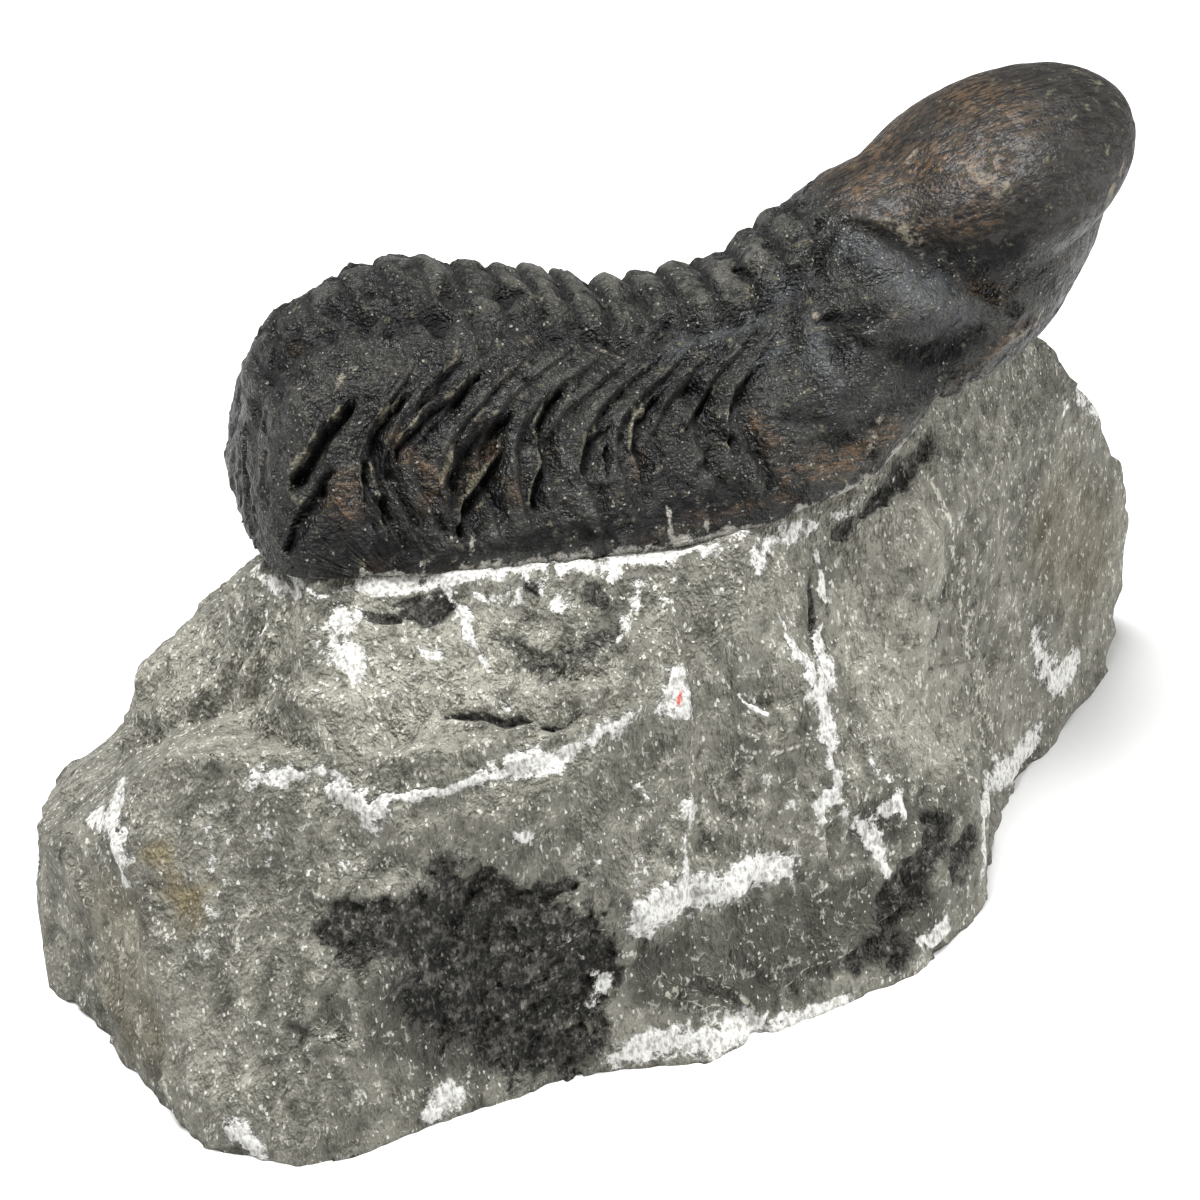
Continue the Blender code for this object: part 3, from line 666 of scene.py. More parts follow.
# %% [markdown]
# ## The body of the trilobite
#
# In life a trilobite is a row of hinged rings, and each ring has a raised hoop over the axis and a side
# plate that sweeps back down the flank. The body is therefore drawn as cross-sections from the tail's
# margin to the head's, and the mesh rows follow the side plates, so that a joint between two plates is
# one line of the grid. The head adds two eyes and the swollen glabella, as ellipsoids joined softly on.

# %% Stations, rings and head, in millimetres
# Each station is (x, z of its base line, lean of its plane forward, half width, height, squareness).
STATIONS = (
    (-18.0, 0.2, -90, 11.9, 5.4, 3.2),
    (-17.7, 0.1, -66, 12.0, 6.0, 2.8),
    (-16.8, 0.0, -42, 12.0, 8.2, 2.4),
    (-15.3, -0.2, -20, 12.0, 12.15, 2.1),
    (-12.5, -0.4, -6, 12.0, 14.0, 1.95),
    (-9.0, -0.6, 0, 12.0, 13.8, 1.9),
    (-4.0, -0.9, 2, 12.0, 12.5, 1.9),
    (1.0, -1.1, 0, 12.0, 11.4, 1.9),
    (6.0, -0.8, -4, 12.0, 11.2, 1.9),
    (10.5, 0.2, -7, 12.0, 11.0, 1.9),
    (13.6, 0.9, -4, 11.5, 12.7, 1.9),
    (16.0, 2.2, 2, 10.7, 14.2, 1.9),
    (17.8, 3.4, 14, 9.8, 14.6, 1.8),
    (18.8, 4.1, 30, 9.1, 16.0, 1.65),
    (19.3, 4.4, 46, 8.8, 17.6, 1.6),
    (19.6, 4.4, 60, 8.6, 16.6, 1.5),
    (19.8, 4.4, 73, 8.5, 13.4, 1.4),
    (19.9, 4.4, 87, 8.4, 10.8, 1.3),
)
RING_PITCH, THORAX_RINGS, TAIL_RINGS = 2.32, 11, 6
THORAX_START = -10.9  # x of the back's crest where thorax and tail shield meet
AXIS_HALF_WIDTH = 4.1
SWEEP = 8.4  # how far the side plates run back from the axis to the shoulder of the flank
GLABELLA_CENTRE, GLABELLA_RADII, GLABELLA_TILT = (25.6, 0.0, 14.9), (10.1, 8.7, 7.1), 25
GLABELLA_BELOW = 0.78  # its underside is flatter than its top by this factor
EYE_CENTRE, EYE_RADII = (17.0, 8.0, 9.8), (3.4, 1.9, 1.8)


def curve_through(rows, count):
    """A Catmull-Rom curve through all rows, read at `count` even steps."""
    rows = np.array(rows, float)
    rows = np.vstack([2 * rows[0] - rows[1], rows, 2 * rows[-1] - rows[-2]])
    at = np.linspace(0, len(rows) - 3, count)
    start = np.minimum(at.astype(int), len(rows) - 4)
    t = (at - start)[:, None]
    a, b, c, d = (rows[start + k] for k in range(4))
    bend = 2 * a - 5 * b + 4 * c - d
    twist = 3 * b - a - 3 * c + d
    return 0.5 * (2 * b + (c - a) * t + bend * t**2 + twist * t**3)


def body_table():
    """Station columns from tail to head, and each row's ring number: 0 at the thorax, 11 at the head."""
    table = curve_through(STATIONS, 1200).T
    x, z, lean, _, height, _ = table
    crest_x = x + height * np.sin(np.radians(lean))
    crest_z = z + height * np.cos(np.radians(lean))
    length = np.concatenate([[0], np.cumsum(np.hypot(np.diff(crest_x), np.diff(crest_z)))])
    back = slice(0, int(np.argmax(crest_x)))
    return table, (length - np.interp(THORAX_START, crest_x[back], length[back])) / RING_PITCH


def swept_ring(plate, turned, first, last):
    """The ring number that each point of a side plate lies at: plates run back from the axis to the flank.

    The run-back starts 20 degrees from the crest, is whole at 62, eases a little on the way down the flank,
    comes later in the rear than near the head, and fades to nothing at the tail's and the head's margins.
    """
    bend = np.sin(np.radians(90) * np.clip((turned - 20) / 42, 0, 1)) ** (1.9 - 0.9 * ramp(plate, 2, 11))
    run_back = SWEEP / RING_PITCH * (bend - 0.16 * ramp(turned, 54, 90))
    fade = np.interp(plate, [first, 0, THORAX_RINGS, last], [0, 1, 1, 0])
    return plate - run_back * fade


def ellipsoid_reach(start, direction, centre, radii, tilt=0.0, below=1.0):
    """Distance along each ray from `start` to the far side of an ellipsoid, or 0 where it misses."""
    turn = math.radians(tilt)
    spin = np.array([[math.cos(turn), 0, math.sin(turn)], [0, 1, 0], [-math.sin(turn), 0, math.cos(turn)]])
    radii = np.array(radii)
    origin = (start - centre) @ spin.T / radii
    along = direction @ spin.T / radii
    origin[..., 2] /= below
    along[..., 2] /= below
    a = (along**2).sum(-1)
    b = (origin * along).sum(-1)
    inside = b * b - a * ((origin**2).sum(-1) - 1)
    return np.where(inside > 0, (-b + np.sqrt(np.maximum(inside, 0))) / a, 0)


print("ring numbers at the margins of tail and head:", body_table()[1][[0, -1]].round(1))

# %% [markdown]
# ## Slots, pits and furrows
#
# No two joints are alike. Where the preparator opened one, a slot runs down the flank with a pale lip above
# it, partly a painted highlight, painted shadow inside and a brown, brushed facet below, and where the chisel
# slipped there are pits along the axis, painted dark as shadow.
# So each slot is its own short table along its lip. On the head, furrows and hollows are strokes again.

# %% Slots along the flank, pits beside the axis
# Each is a depth and its line, rows of (x, y, z, radius) on the right side of the body.
SLOTS = (
    (1.2, ((-16.6, -6.2, 39.4, 0.19), (-17.7, -6.8, 38.4, 0.4), (-19.0, -7.4, 37.0, 0.6),
     (-19.9, -7.5, 35.5, 0.65), (-20.3, -8.5, 34.1, 0.4), (-21.1, -9.0, 32.5, 0.2))),
    (0.6, ((-19.2, -9.2, 35.5, 0.23), (-19.9, -9.4, 34.3, 0.31), (-20.8, -9.5, 33.3, 0.23))),
    (0.8, ((-13.7, -6.8, 39.5, 0.19), (-14.7, -7.3, 38.9, 0.34), (-15.4, -8.0, 38.1, 0.46),
     (-15.7, -8.8, 37.2, 0.54), (-15.8, -9.5, 36.4, 0.31), (-15.6, -10.1, 35.5, 0.19),
     (-15.7, -11.0, 33.7, 0.19))),
    (0.4, ((-16.6, -9.2, 36.6, 0.16), (-16.6, -9.7, 36.0, 0.16), (-16.7, -10.3, 35.1, 0.16))),
    (0.5, ((-9.8, -5.2, 40.4, 0.19), (-11.0, -6.1, 40.0, 0.23), (-12.1, -6.9, 39.5, 0.23),
     (-12.9, -7.4, 39.0, 0.16))),
    (0.8, ((-8.9, -5.9, 39.9, 0.16), (-9.9, -6.6, 39.4, 0.19), (-10.4, -7.1, 39.1, 0.31),
     (-11.9, -7.8, 38.5, 0.5), (-13.1, -8.5, 37.7, 0.54), (-14.1, -8.9, 37.3, 0.38),
     (-14.5, -9.2, 36.9, 0.19))),
    (1.1, ((-7.6, -8.0, 37.8, 0.23), (-8.3, -8.3, 37.5, 0.46), (-9.2, -8.8, 37.0, 0.77),
     (-10.0, -9.6, 35.9, 1.1), (-10.4, -10.1, 35.1, 1.1), (-10.6, -10.5, 34.4, 0.92))),
    (1.0, ((-8.7, -9.5, 36.1, 0.31), (-9.1, -10.2, 34.9, 0.61), (-9.8, -10.8, 33.9, 0.69),
     (-10.5, -11.2, 33.0, 0.54), (-11.3, -11.4, 32.4, 0.31))),
    (0.9, ((-4.2, -6.8, 38.1, 0.19), (-5.1, -7.6, 37.7, 0.34), (-5.5, -8.3, 37.0, 0.46),
     (-5.6, -9.0, 36.2, 0.46), (-5.5, -9.6, 35.5, 0.46), (-6.0, -10.3, 34.6, 0.46),
     (-6.4, -10.9, 33.3, 0.34))),
    (0.6, ((-1.5, -8.5, 36.2, 0.23), (-2.1, -9.0, 35.7, 0.54), (-2.8, -9.5, 35.2, 0.69),
     (-3.5, -10.0, 34.6, 0.46))),
    (0.8, ((-1.8, -8.9, 35.9, 0.19), (-1.9, -9.7, 34.9, 0.23), (-2.2, -10.8, 33.3, 0.16))),
    (0.8, ((1.8, -7.1, 36.9, 0.19), (1.1, -7.7, 36.5, 0.38), (0.6, -8.2, 36.0, 0.54),
     (0.2, -9.2, 35.2, 0.46), (0.4, -9.9, 34.4, 0.38), (0.1, -10.5, 33.6, 0.23))),
    (0.4, ((4.8, -7.3, 36.8, 0.19), (4.0, -8.1, 36.2, 0.23), (3.3, -9.0, 35.4, 0.23))),
    (0.6, ((8.4, -6.4, 38.0, 0.19), (7.5, -7.0, 37.4, 0.27), (6.5, -7.8, 36.6, 0.31),
     (5.9, -8.9, 35.6, 0.27), (5.7, -10.1, 34.3, 0.23))),
    (0.8, ((-18.5, -9.2, 36.2, 0.4), (-19.8, -9.5, 34.7, 0.55), (-20.9, -9.8, 33.3, 0.5),
     (-21.6, -9.8, 32.2, 0.3))),
    (0.5, ((-22.4, -0.7, 34.8, 0.3), (-23.0, -2.1, 32.9, 0.4), (-23.1, -4.4, 31.5, 0.5),
     (-22.9, -7.4, 31.1, 0.4))),
    (0.4, ((-21.8, -4.6, 35.6, 0.3), (-22.3, -5.4, 34.2, 0.4), (-22.3, -6.6, 33.5, 0.3))),
)
HEADWARD = np.array([0.83, -0.1, -0.55])  # across a slot, from its lip to its facet
PITS = (
    (-16.7, -0.5, 41.7, 0.73), (-18.8, -0.4, 40.7, 0.59), (-10.9, -2.6, 41.9, 0.88),
    (-9.5, -1.3, 42.0, 0.95), (-11.8, -2.3, 42.1, 0.59), (-6.0, -0.8, 41.3, 0.88),
    (-6.8, -1.1, 41.4, 0.51), (-5.1, -0.5, 41.0, 0.51), (-6.9, -3.5, 40.8, 0.37), (-3.6, -3.4, 39.9, 0.44),
    (-8.3, -4.9, 40.4, 0.44), (-5.4, -5.2, 39.6, 0.37), (-6.1, -6.3, 39.0, 0.37), (-0.4, -3.5, 39.0, 0.37),
    (8.0, -3.1, 39.3, 0.37), (8.4, 4.7, 38.8, 0.44), (8.9, 0.1, 40.0, 0.44), (12.3, -0.7, 42.1, 0.37),
    (13.9, -0.5, 43.3, 0.37), (1.9, -2.6, 38.9, 0.37), (3.8, -2.3, 39.0, 0.44), (-2.3, -2.4, 39.9, 0.37),
    (-0.2, -0.6, 39.5, 0.29), (-13.7, -3.2, 41.8, 0.44), (-14.3, -0.5, 42.4, 0.44),
)
print(len(SLOTS), "slots and", len(PITS), "pits")

# %% Furrows, ridges and painted shadows in the hollows
# Each furrow is a depth and a line. A ridge has a depth below zero.
FURROWS = (
    (0.8, ((15.3, -1.2, 44.2, 0.3), (16.8, -3.1, 44.1, 0.6), (18.6, -4.1, 43.6, 0.9),
     (20.5, -5.3, 43.6, 1.2), (22.2, -6.1, 43.6, 1.5), (23.7, -6.5, 44.1, 1.2), (25.1, -6.5, 44.9, 0.6))),
    (0.55, ((21.1, -5.7, 43.0, 0.9), (22.7, -5.6, 41.1, 1.1), (24.1, -6.0, 39.8, 1.0),
     (25.2, -5.9, 38.8, 0.6))),
    (0.5, ((12.9, -5.9, 40.2, 0.6), (13.8, -6.9, 40.6, 1.0), (14.8, -7.5, 41.0, 0.7))),
    (0.35, ((16.0, -8.4, 39.4, 0.7), (17.8, -8.1, 38.3, 1.3), (20.0, -7.5, 38.2, 1.2),
     (22.3, -6.9, 38.4, 0.7))),
    (-0.4, ((16.3, -4.9, 42.7, 1.2), (18.2, -6.8, 41.5, 1.9), (20.8, -6.8, 39.9, 1.3))),
    (-0.35, ((11.5, -5.7, 39.7, 0.8), (11.9, -7.7, 38.2, 1.0), (12.4, -8.9, 37.1, 0.7))),
    (0.4, ((11.0, -10.5, 34.6, 0.5), (12.5, -10.7, 34.1, 0.8), (13.8, -10.9, 33.0, 0.5))),
    (0.45, ((3.8, -6.7, 37.3, 0.7), (4.2, -8.2, 36.2, 1.1), (5.2, -9.6, 34.9, 0.9), (4.0, -10.1, 34.2, 0.7))),
    (0.4, ((6.4, -8.6, 35.8, 0.4), (6.9, -10.1, 34.4, 0.6), (7.5, -11.2, 32.4, 0.4))),
    (-0.25, ((7.4, -8.9, 35.7, 0.5), (8.1, -10.3, 34.2, 0.6), (8.6, -11.4, 32.3, 0.5))),
    (-0.2, ((15.1, -9.8, 35.6, 0.3), (14.4, -10.4, 34.3, 0.4), (13.7, -10.8, 33.2, 0.3))),
    (-0.2, ((26.9, -4.9, 37.0, 0.6), (24.5, -6.3, 37.0, 0.7), (22.3, -7.2, 35.7, 0.7),
     (20.2, -7.9, 34.4, 0.6))),
)
# Painted shadows: under the glabella, round the eye, on the cheek and along the lower margin of the body.
PAINTED_SHADOWS = (
    ((16.8, -3.1, 44.0, 0.6), (18.6, -4.2, 43.6, 1.0), (20.5, -5.5, 43.2, 1.4), (22.2, -6.1, 43.0, 1.6),
     (24.0, -6.5, 43.4, 1.3)),
    ((12.9, -5.9, 40.2, 0.5), (13.8, -6.9, 40.6, 0.9), (14.8, -7.5, 41.0, 0.6)),
    ((16.0, -8.6, 39.2, 0.6), (17.8, -8.3, 37.9, 1.3), (20.0, -7.7, 37.6, 1.3), (22.3, -7.1, 37.8, 0.8)),
    ((9.6, -9.2, 36.0, 0.8), (12.0, -10.2, 35.2, 0.7)),
    ((-19.0, -11.4, 32.6, 1.6), (-15.5, -11.9, 31.4, 0.9), (-11.0, -11.8, 31.2, 0.7),
     (-5.0, -11.6, 31.6, 0.8), (0.0, -11.6, 31.2, 0.7), (5.0, -11.3, 32.2, 0.9)),
)
print(len(FURROWS), "furrows and ridges,", len(PAINTED_SHADOWS), "hollows")

# %% A painted bluish sheen, brown and cream skins, and ticks of the chisel
# Painted bluish sheen: on the eye, the ridges of the head and the axis next to it.
SHEEN_STROKES = (
    ((14.9, -2.7, 43.4, 1.0), (16.3, -4.9, 42.7, 1.4), (18.2, -6.8, 41.5, 2.0), (20.6, -7.0, 39.7, 1.6)),
    ((11.5, -5.7, 39.7, 0.7), (11.9, -7.7, 38.2, 1.0), (12.4, -8.9, 37.1, 0.6)),
    ((9.6, -5.7, 38.8, 0.9), (7.9, -6.3, 38.0, 0.7)),
    ((4.0, -4.0, 38.6, 1.0), (8.0, -3.6, 39.2, 1.0), (11.6, -2.6, 41.4, 1.0)),
)
BROWN = (
    ((16.5, 0.2, 45.2, 1.6), (18.4, 0.6, 46.2, 2.6), (21.2, -1.0, 47.4, 3.6), (23.1, -3.6, 47.4, 2.6)),
    ((22.4, 5.4, 47.6, 2.4), (24.3, 2.1, 49.2, 3.0), (26.0, -1.4, 49.4, 2.0)),
    ((18.0, -2.6, 44.6, 1.3), (20.2, -4.7, 44.5, 1.2), (22.4, -5.6, 45.4, 1.2)),
    ((20.4, -5.4, 42.8, 0.6), (22.4, -5.6, 41.2, 1.2), (24.1, -6.0, 39.8, 0.9)),
    ((7.2, -8.9, 35.9, 0.6), (7.9, -10.3, 34.4, 0.9), (8.4, -11.4, 32.4, 0.6)),
    ((9.8, -11.0, 33.4, 1.2), (12.3, -11.1, 33.0, 0.9), (15.4, -10.2, 34.1, 1.1)),
    ((-18.1, -10.0, 35.3, 1.4), (-18.0, -10.5, 34.5, 1.3)),
    ((-13.2, -9.7, 36.3, 0.7), (-12.7, -10.3, 35.2, 1.2), (-13.1, -10.7, 34.5, 0.9)),
    ((-9.1, -8.6, 37.5, 0.6), (-9.5, -9.3, 36.6, 0.9), (-10.5, -10.0, 35.6, 0.8)),
    ((-7.8, -10.3, 34.8, 0.6), (-7.8, -10.8, 33.8, 0.6)),
    ((0.0, -9.6, 34.8, 0.6), (-0.3, -10.3, 33.9, 0.5)),
    ((-14.4, -8.3, 38.1, 0.7), (-14.0, -9.2, 37.0, 0.7)),
    ((-19.2, -1.0, 40.4, 0.5), (-19.2, -1.8, 40.3, 0.4)),
    ((-17.8, -11.6, 31.6, 0.5), (-15.5, -11.9, 30.7, 0.6), (-13.2, -11.9, 30.4, 0.6),
     (-10.7, -11.9, 30.3, 0.5)),
    ((-0.8, -11.9, 30.1, 0.5), (2.5, -11.6, 31.0, 0.6), (5.6, -11.6, 31.3, 0.7), (8.7, -11.7, 31.6, 0.7)),
    ((26.9, -4.9, 37.2, 0.8), (24.5, -6.3, 37.2, 0.8), (22.3, -7.2, 35.9, 0.7), (20.2, -7.9, 34.6, 0.7)),
)
CREAM = (
    ((19.9, 0.4, 46.8, 0.3), (20.4, 0.8, 47.2, 0.2)),
    ((22.2, -2.1, 47.8, 0.25), (22.8, -3.9, 47.3, 0.5), (24.1, -4.8, 47.3, 0.4), (23.1, -4.9, 46.8, 0.4)),
    ((16.4, -1.9, 44.6, 0.2), (18.0, -3.1, 44.3, 0.35), (19.4, -4.3, 44.0, 0.3)),
    ((24.6, -6.3, 42.5, 0.17), (26.1, -5.1, 40.4, 0.25)),
    ((12.1, -5.4, 40.2, 0.35),),
    ((15.1, -9.8, 35.6, 0.2), (14.4, -10.4, 34.3, 0.3), (13.7, -10.8, 33.2, 0.2)),
    ((25.7, -3.4, 48.8, 0.35), (26.2, -3.8, 48.7, 0.2)),
    ((19.7, -4.9, 43.3, 0.2), (20.4, -5.3, 43.3, 0.15)),
    ((32.4, -3.5, 47.2, 0.2), (31.3, -4.6, 45.8, 0.25), (30.3, -2.8, 40.3, 0.2), (28.6, -4.1, 38.8, 0.2),
     (27.3, -4.7, 37.2, 0.25)),
    ((26.9, -4.9, 37.0, 0.3), (24.5, -6.3, 37.2, 0.25), (22.3, -7.2, 35.9, 0.2)),
    ((-13.9, -7.3, 39.1, 0.25),),
    ((-17.7, -5.5, 39.7, 0.2), (-16.6, -4.9, 40.4, 0.27), (-15.8, -4.7, 40.8, 0.2)),
    ((-1.1, -3.9, 39.1, 0.2), (0.0, -4.3, 38.7, 0.27)),
)
WHITE_TICKS = (
    ((-2.3, -10.7, 33.5, 0.15), (-2.3, -11.2, 32.5, 0.15)),
    ((1.3, -11.4, 31.9, 0.2), (1.4, -11.9, 30.1, 0.3)),
    ((3.5, -11.3, 32.1, 0.2), (3.5, -11.9, 30.4, 0.3)),
    ((-10.7, -11.5, 32.1, 0.2), (-10.8, -11.8, 30.8, 0.35)),
)
print("skins:", len(SHEEN_STROKES), "slate,", len(BROWN), "brown,", len(CREAM), "cream")

# %% [markdown]
# ## Relief of the body
#
# The relief is a sum of small heights over the smooth section: hoops over the axis, furrows beside them,
# slots between the plates, the head's rim, and stone-like roughness. A slot's profile across itself is
# steep below the lip and shallow on the far side, as a chisel leaves it.


# %% Rings, slots and plates
def ring_shape(place):
    """One axial ring, from its rear furrow at 0 to its front one at 1: |sin|, steeper at the rear."""
    return np.abs(np.sin(np.pi * place**0.75)) ** 0.6


def slot_relief(spots, depth, path):
    """(height, painted shadow, lip) of one slot: a wall below its lip, and a facet that climbs back from its
    foot.

    On each piece of the centre line, `across` is the offset along HEADWARD in parts of the slot's radius:
    -1 at the lip and 1 where the facet comes out.
    """
    path = np.array(path)
    nearest, across = np.full((2, *spots.shape[:-1]), 9.0)
    for start, end in zip(path, path[1:]):
        along = end[:3] - start[:3]
        t = np.clip((spots - start[:3]) @ along / (along @ along), 0, 1)
        offset = spots - start[:3] - t[..., None] * along
        radius = 1.3 * (start[3] + t * (end[3] - start[3]))
        away = np.linalg.norm(offset, axis=-1) / radius
        across = np.where(away < nearest, offset @ HEADWARD / radius, across)
        nearest = np.minimum(nearest, away)
    inside = ramp(-nearest, -1.3, -0.8) * ramp(across, -1.15, -0.75)
    # Painted shadow inside the slot, below its lip.
    deep = 0.75 * inside * ramp(-across, -0.3, 0.8)
    lip = ridge(across, -1.2, 0.2) * ramp(-nearest, -1.8, -1.3)
    return 0.15 * lip - 1.2 * depth * inside * np.clip((1.1 - across) / 2, 0, 1), deep, lip


def axis_relief(ring, out, spots, wobble):
    """(height, painted shade, hoop) over the axis: a hoop for each ring, with a furrow along both sides. The
    shade is painted in the furrows and between the rings.
    """
    in_axis = ramp(ring, -TAIL_RINGS - 0.5, 0.5 - TAIL_RINGS)
    in_axis *= 1 - ramp(ring, THORAX_RINGS, THORAX_RINGS + 0.3)
    half_width = AXIS_HALF_WIDTH * (0.45 + 0.55 * ramp(ring, -TAIL_RINGS - 1, 0.5)) + 3 * wobble
    hoops = 1 - ramp(out, half_width - 1.2, half_width + 0.8)
    furrow = ridge(out, half_width + 0.5, 0.8) * (0.2 + 0.4 * ridge((ring + 0.5) % 1.0, 0.6, 0.25))
    place = (ring + 0.7 * wobble) % 1.0
    knobs = 0.22 * noise(spots, 1.7, 31)
    swell = 0.45 + 0.2 * ramp(ring, -1, 5) + 1.8 * wobble
    height = in_axis * (hoops * (0.2 + knobs + swell * ring_shape(place)) - furrow)
    # Painted shade in the dips between the rings.
    ring_gap_shade = (0.5 - 1.6 * knobs) * (ridge(place, 0.0, 0.12) + ridge(place, 1.0, 0.08))
    return height, in_axis * (0.6 * furrow + hoops * ring_gap_shade), in_axis * hoops


def cut_relief(mirrored, ragged):
    """(height, painted shadow, lip) of the slots down the flank and the chisel's pits beside the axis."""
    height, black, lip = np.zeros((3, *ragged.shape[:-1]))
    for depth, path in SLOTS:
        cut, deep, edge = slot_relief(ragged, depth, path)
        height, black, lip = height + cut, np.maximum(black, deep), np.maximum(lip, edge)
    wild = shaken(mirrored, 0.9, 0.35, 66)
    for x, y, z, radius in PITS:
        inside = stroke(wild, ((x, y, z, 1.3 * radius),))
        height = height - 1.1 * radius * ramp(inside, 0.0, 0.7)
        # Painted shadow in each pit.
        black = np.maximum(black, ramp(inside, 0.2, 0.7))
    return height, black, lip


def plate_relief(plate, turned, spots, wobble):
    """(height, painted shadow) of the side plates: each rises to its front edge and drops behind it, as a
    sawtooth, with painted shadow at the drop.
    """
    on_flank = ramp(plate, -0.4, -0.1) * (1 - ramp(plate, THORAX_RINGS - 0.4, THORAX_RINGS + 0.4))
    on_flank *= ramp(turned, 24, 38) * (1 - ramp(turned, 74, 88))
    on_flank *= 0.5 + 0.5 * ramp(noise(spots, 2.6, 28), -0.7, 0.5)
    seam = (plate + 1.2 * wobble) % 1.0
    height = on_flank * (0.8 * seam - 0.4 - 0.75 * ramp(seam, 0.8, 1.0) * seam)
    # Painted shadow where each plate drops behind its edge.
    return height, on_flank * ridge(seam, 0.98, 0.10) * (0.45 + 0.7 * noise(spots, 2.0, 27))


print("one ring from its rear furrow to its front one:", ring_shape(np.linspace(0, 1, 6)).round(2))


# %% The whole relief, and the surface that carries it
def body_relief(plate, turned, ring, out, spots, mirrored):
    """The height over the smooth section, and the markings, each between -1 and 1."""
    wobble = 0.14 * noise(spots, 2.4, 3) + 0.05 * noise(spots, 0.9, 4)
    ragged = shaken(shaken(mirrored, 1.8, 0.35, 60), 0.6, 0.14, 64)
    hoops, ring_gap_shade, on_hoop = axis_relief(ring, out, spots, wobble)
    cuts, deep, lip = cut_relief(mirrored, ragged)
    plates, seam_shadow = plate_relief(plate, turned, spots, wobble)
    relief = hoops + cuts + plates
    for depth, path in FURROWS:
        relief = relief - depth * ramp(stroke(ragged, path), -0.1, 0.9)
    # Painted shadow in the marked hollows, and a faint random darkening everywhere.
    hollows = 0.7 * strokes(ragged, PAINTED_SHADOWS) + 0.25 + 0.2 * noise(spots, 1.2, 26)

    in_head = ramp(plate, THORAX_RINGS + 0.4, THORAX_RINGS + 1.5)
    in_tail = 1 - ramp(plate, -4, -1)
    relief = relief + in_head * (0.3 * ridge(turned, 83, 3.5) - 0.3 * ridge(turned, 74, 4))
    along_rings = np.stack([plate * 3.1, turned * 0.11, 0 * plate], axis=-1)
    rough = 0.26 * chips(spots, 1.3, 12, 0.02) + 0.22 * noise(spots, 2.8, 14) + 0.07 * noise(spots, 0.6, 13)
    calm = 1 - 0.5 * in_head * (1 + 0.5 * ramp(spots[..., 2], 42, 45)) - 0.3 * in_tail
    calm -= 0.2 * on_hoop * (1 - in_head) * (1 - in_tail)
    relief = relief + rough * calm + 0.06 * noise(along_rings, 0.5, 9) * (1 - in_head)

    margin = (turned - 88.2) / 4 + 0.8 * layered(spots, 1.6, 29, 2)
    marks = {
        # Height over the section for the paint: crests paler, partly wear and partly painted highlight, and
        # low places darker as painted shade.
        "crest": (relief - 0.5 * on_hoop) / 0.6,
        # The black mark is painted shade: in the furrows and between rings, in slots and pits, behind plate
        # edges and in the marked hollows.
        "black": np.maximum.reduce([ring_gap_shade, deep, seam_shadow, hollows]),
        # Where the slot lips get pale paint, partly a painted highlight.
        "lip": lip * ramp(noise(spots, 1.5, 22), -0.6, 0.3),
        "brown": strokes(ragged, BROWN) + 0.3 * layered(spots, 1.6, 21, 3),
        # Where the painted bluish sheen lies.
        "painted_sheen": strokes(ragged, SHEEN_STROKES) + 0.3 * layered(spots, 1.6, 24, 3),
        "cream": strokes(ragged, CREAM),
        "dust": np.maximum(margin, strokes(ragged, WHITE_TICKS)),
        "polish": in_head * ramp(spots[..., 2], 42.8, 44.6),
    }
    return relief, {name: np.clip(values, -1, 1) for name, values in marks.items()}


def body_surface(plates, columns):
    """The body's upper side as a grid: rows follow the side plates from tail to head, columns cross it."""
    table, ring_at = body_table()
    first, last = ring_at[0], ring_at[-1]
    rows = np.concatenate([[first], plates[(plates > first) & (plates < last)], [last]])
    plate, across = np.meshgrid(rows, np.linspace(-90, 90, columns), indexing="ij")
    turned = np.abs(across)
    ring = swept_ring(plate, turned, first, last)
    x, z, lean, width, height, square = (np.interp(ring, ring_at, column) for column in table)
    angle, lean = np.radians(across), np.radians(lean)
    side, up = np.sin(angle), np.cos(angle)
    direction = np.stack([up * np.sin(lean), side, up * np.cos(lean)], axis=-1)
    base = np.stack([x, 0 * x, z], axis=-1)
    section = ((np.abs(side) / width) ** square + (up / height) ** square) ** (-1 / square)
    glabella = ellipsoid_reach(
        base, direction, GLABELLA_CENTRE, GLABELLA_RADII, GLABELLA_TILT, GLABELLA_BELOW
    )
    eye_centre = np.array(EYE_CENTRE) * np.stack([0 * x + 1, np.sign(across), 0 * x + 1], axis=-1)
    eyes = ellipsoid_reach(base, direction, eye_centre, EYE_RADII)
    reach = smooth_most([smooth_most([section, eyes], 0.6), glabella], 0.4)
    out = reach * np.sin(np.abs(angle))
    smooth = base + direction * reach[..., None]
    spots = laid_down(smooth) + (0, 0, BODY_HEIGHT)
    smooth[..., 1] = -np.abs(smooth[..., 1])
    mirrored = laid_down(smooth) + (0, 0, BODY_HEIGHT)

    relief, marks = body_relief(plate, turned, ring, out, spots, mirrored)
    points = base + direction * (reach + relief)[..., None]
    return laid_down(points) + (0, 0, BODY_HEIGHT), marks


print("the crest of the fifth ring lies at", body_surface(np.array([5.0]), 3)[0][1, 1].round(1))


# %% The trilobite
BODY_COLUMNS = 201
TAIL_ROW_STEP, PLATE_ROW_STEP, HEAD_ROW_STEP = 0.08, 0.0625, 0.1  # in ring pitches


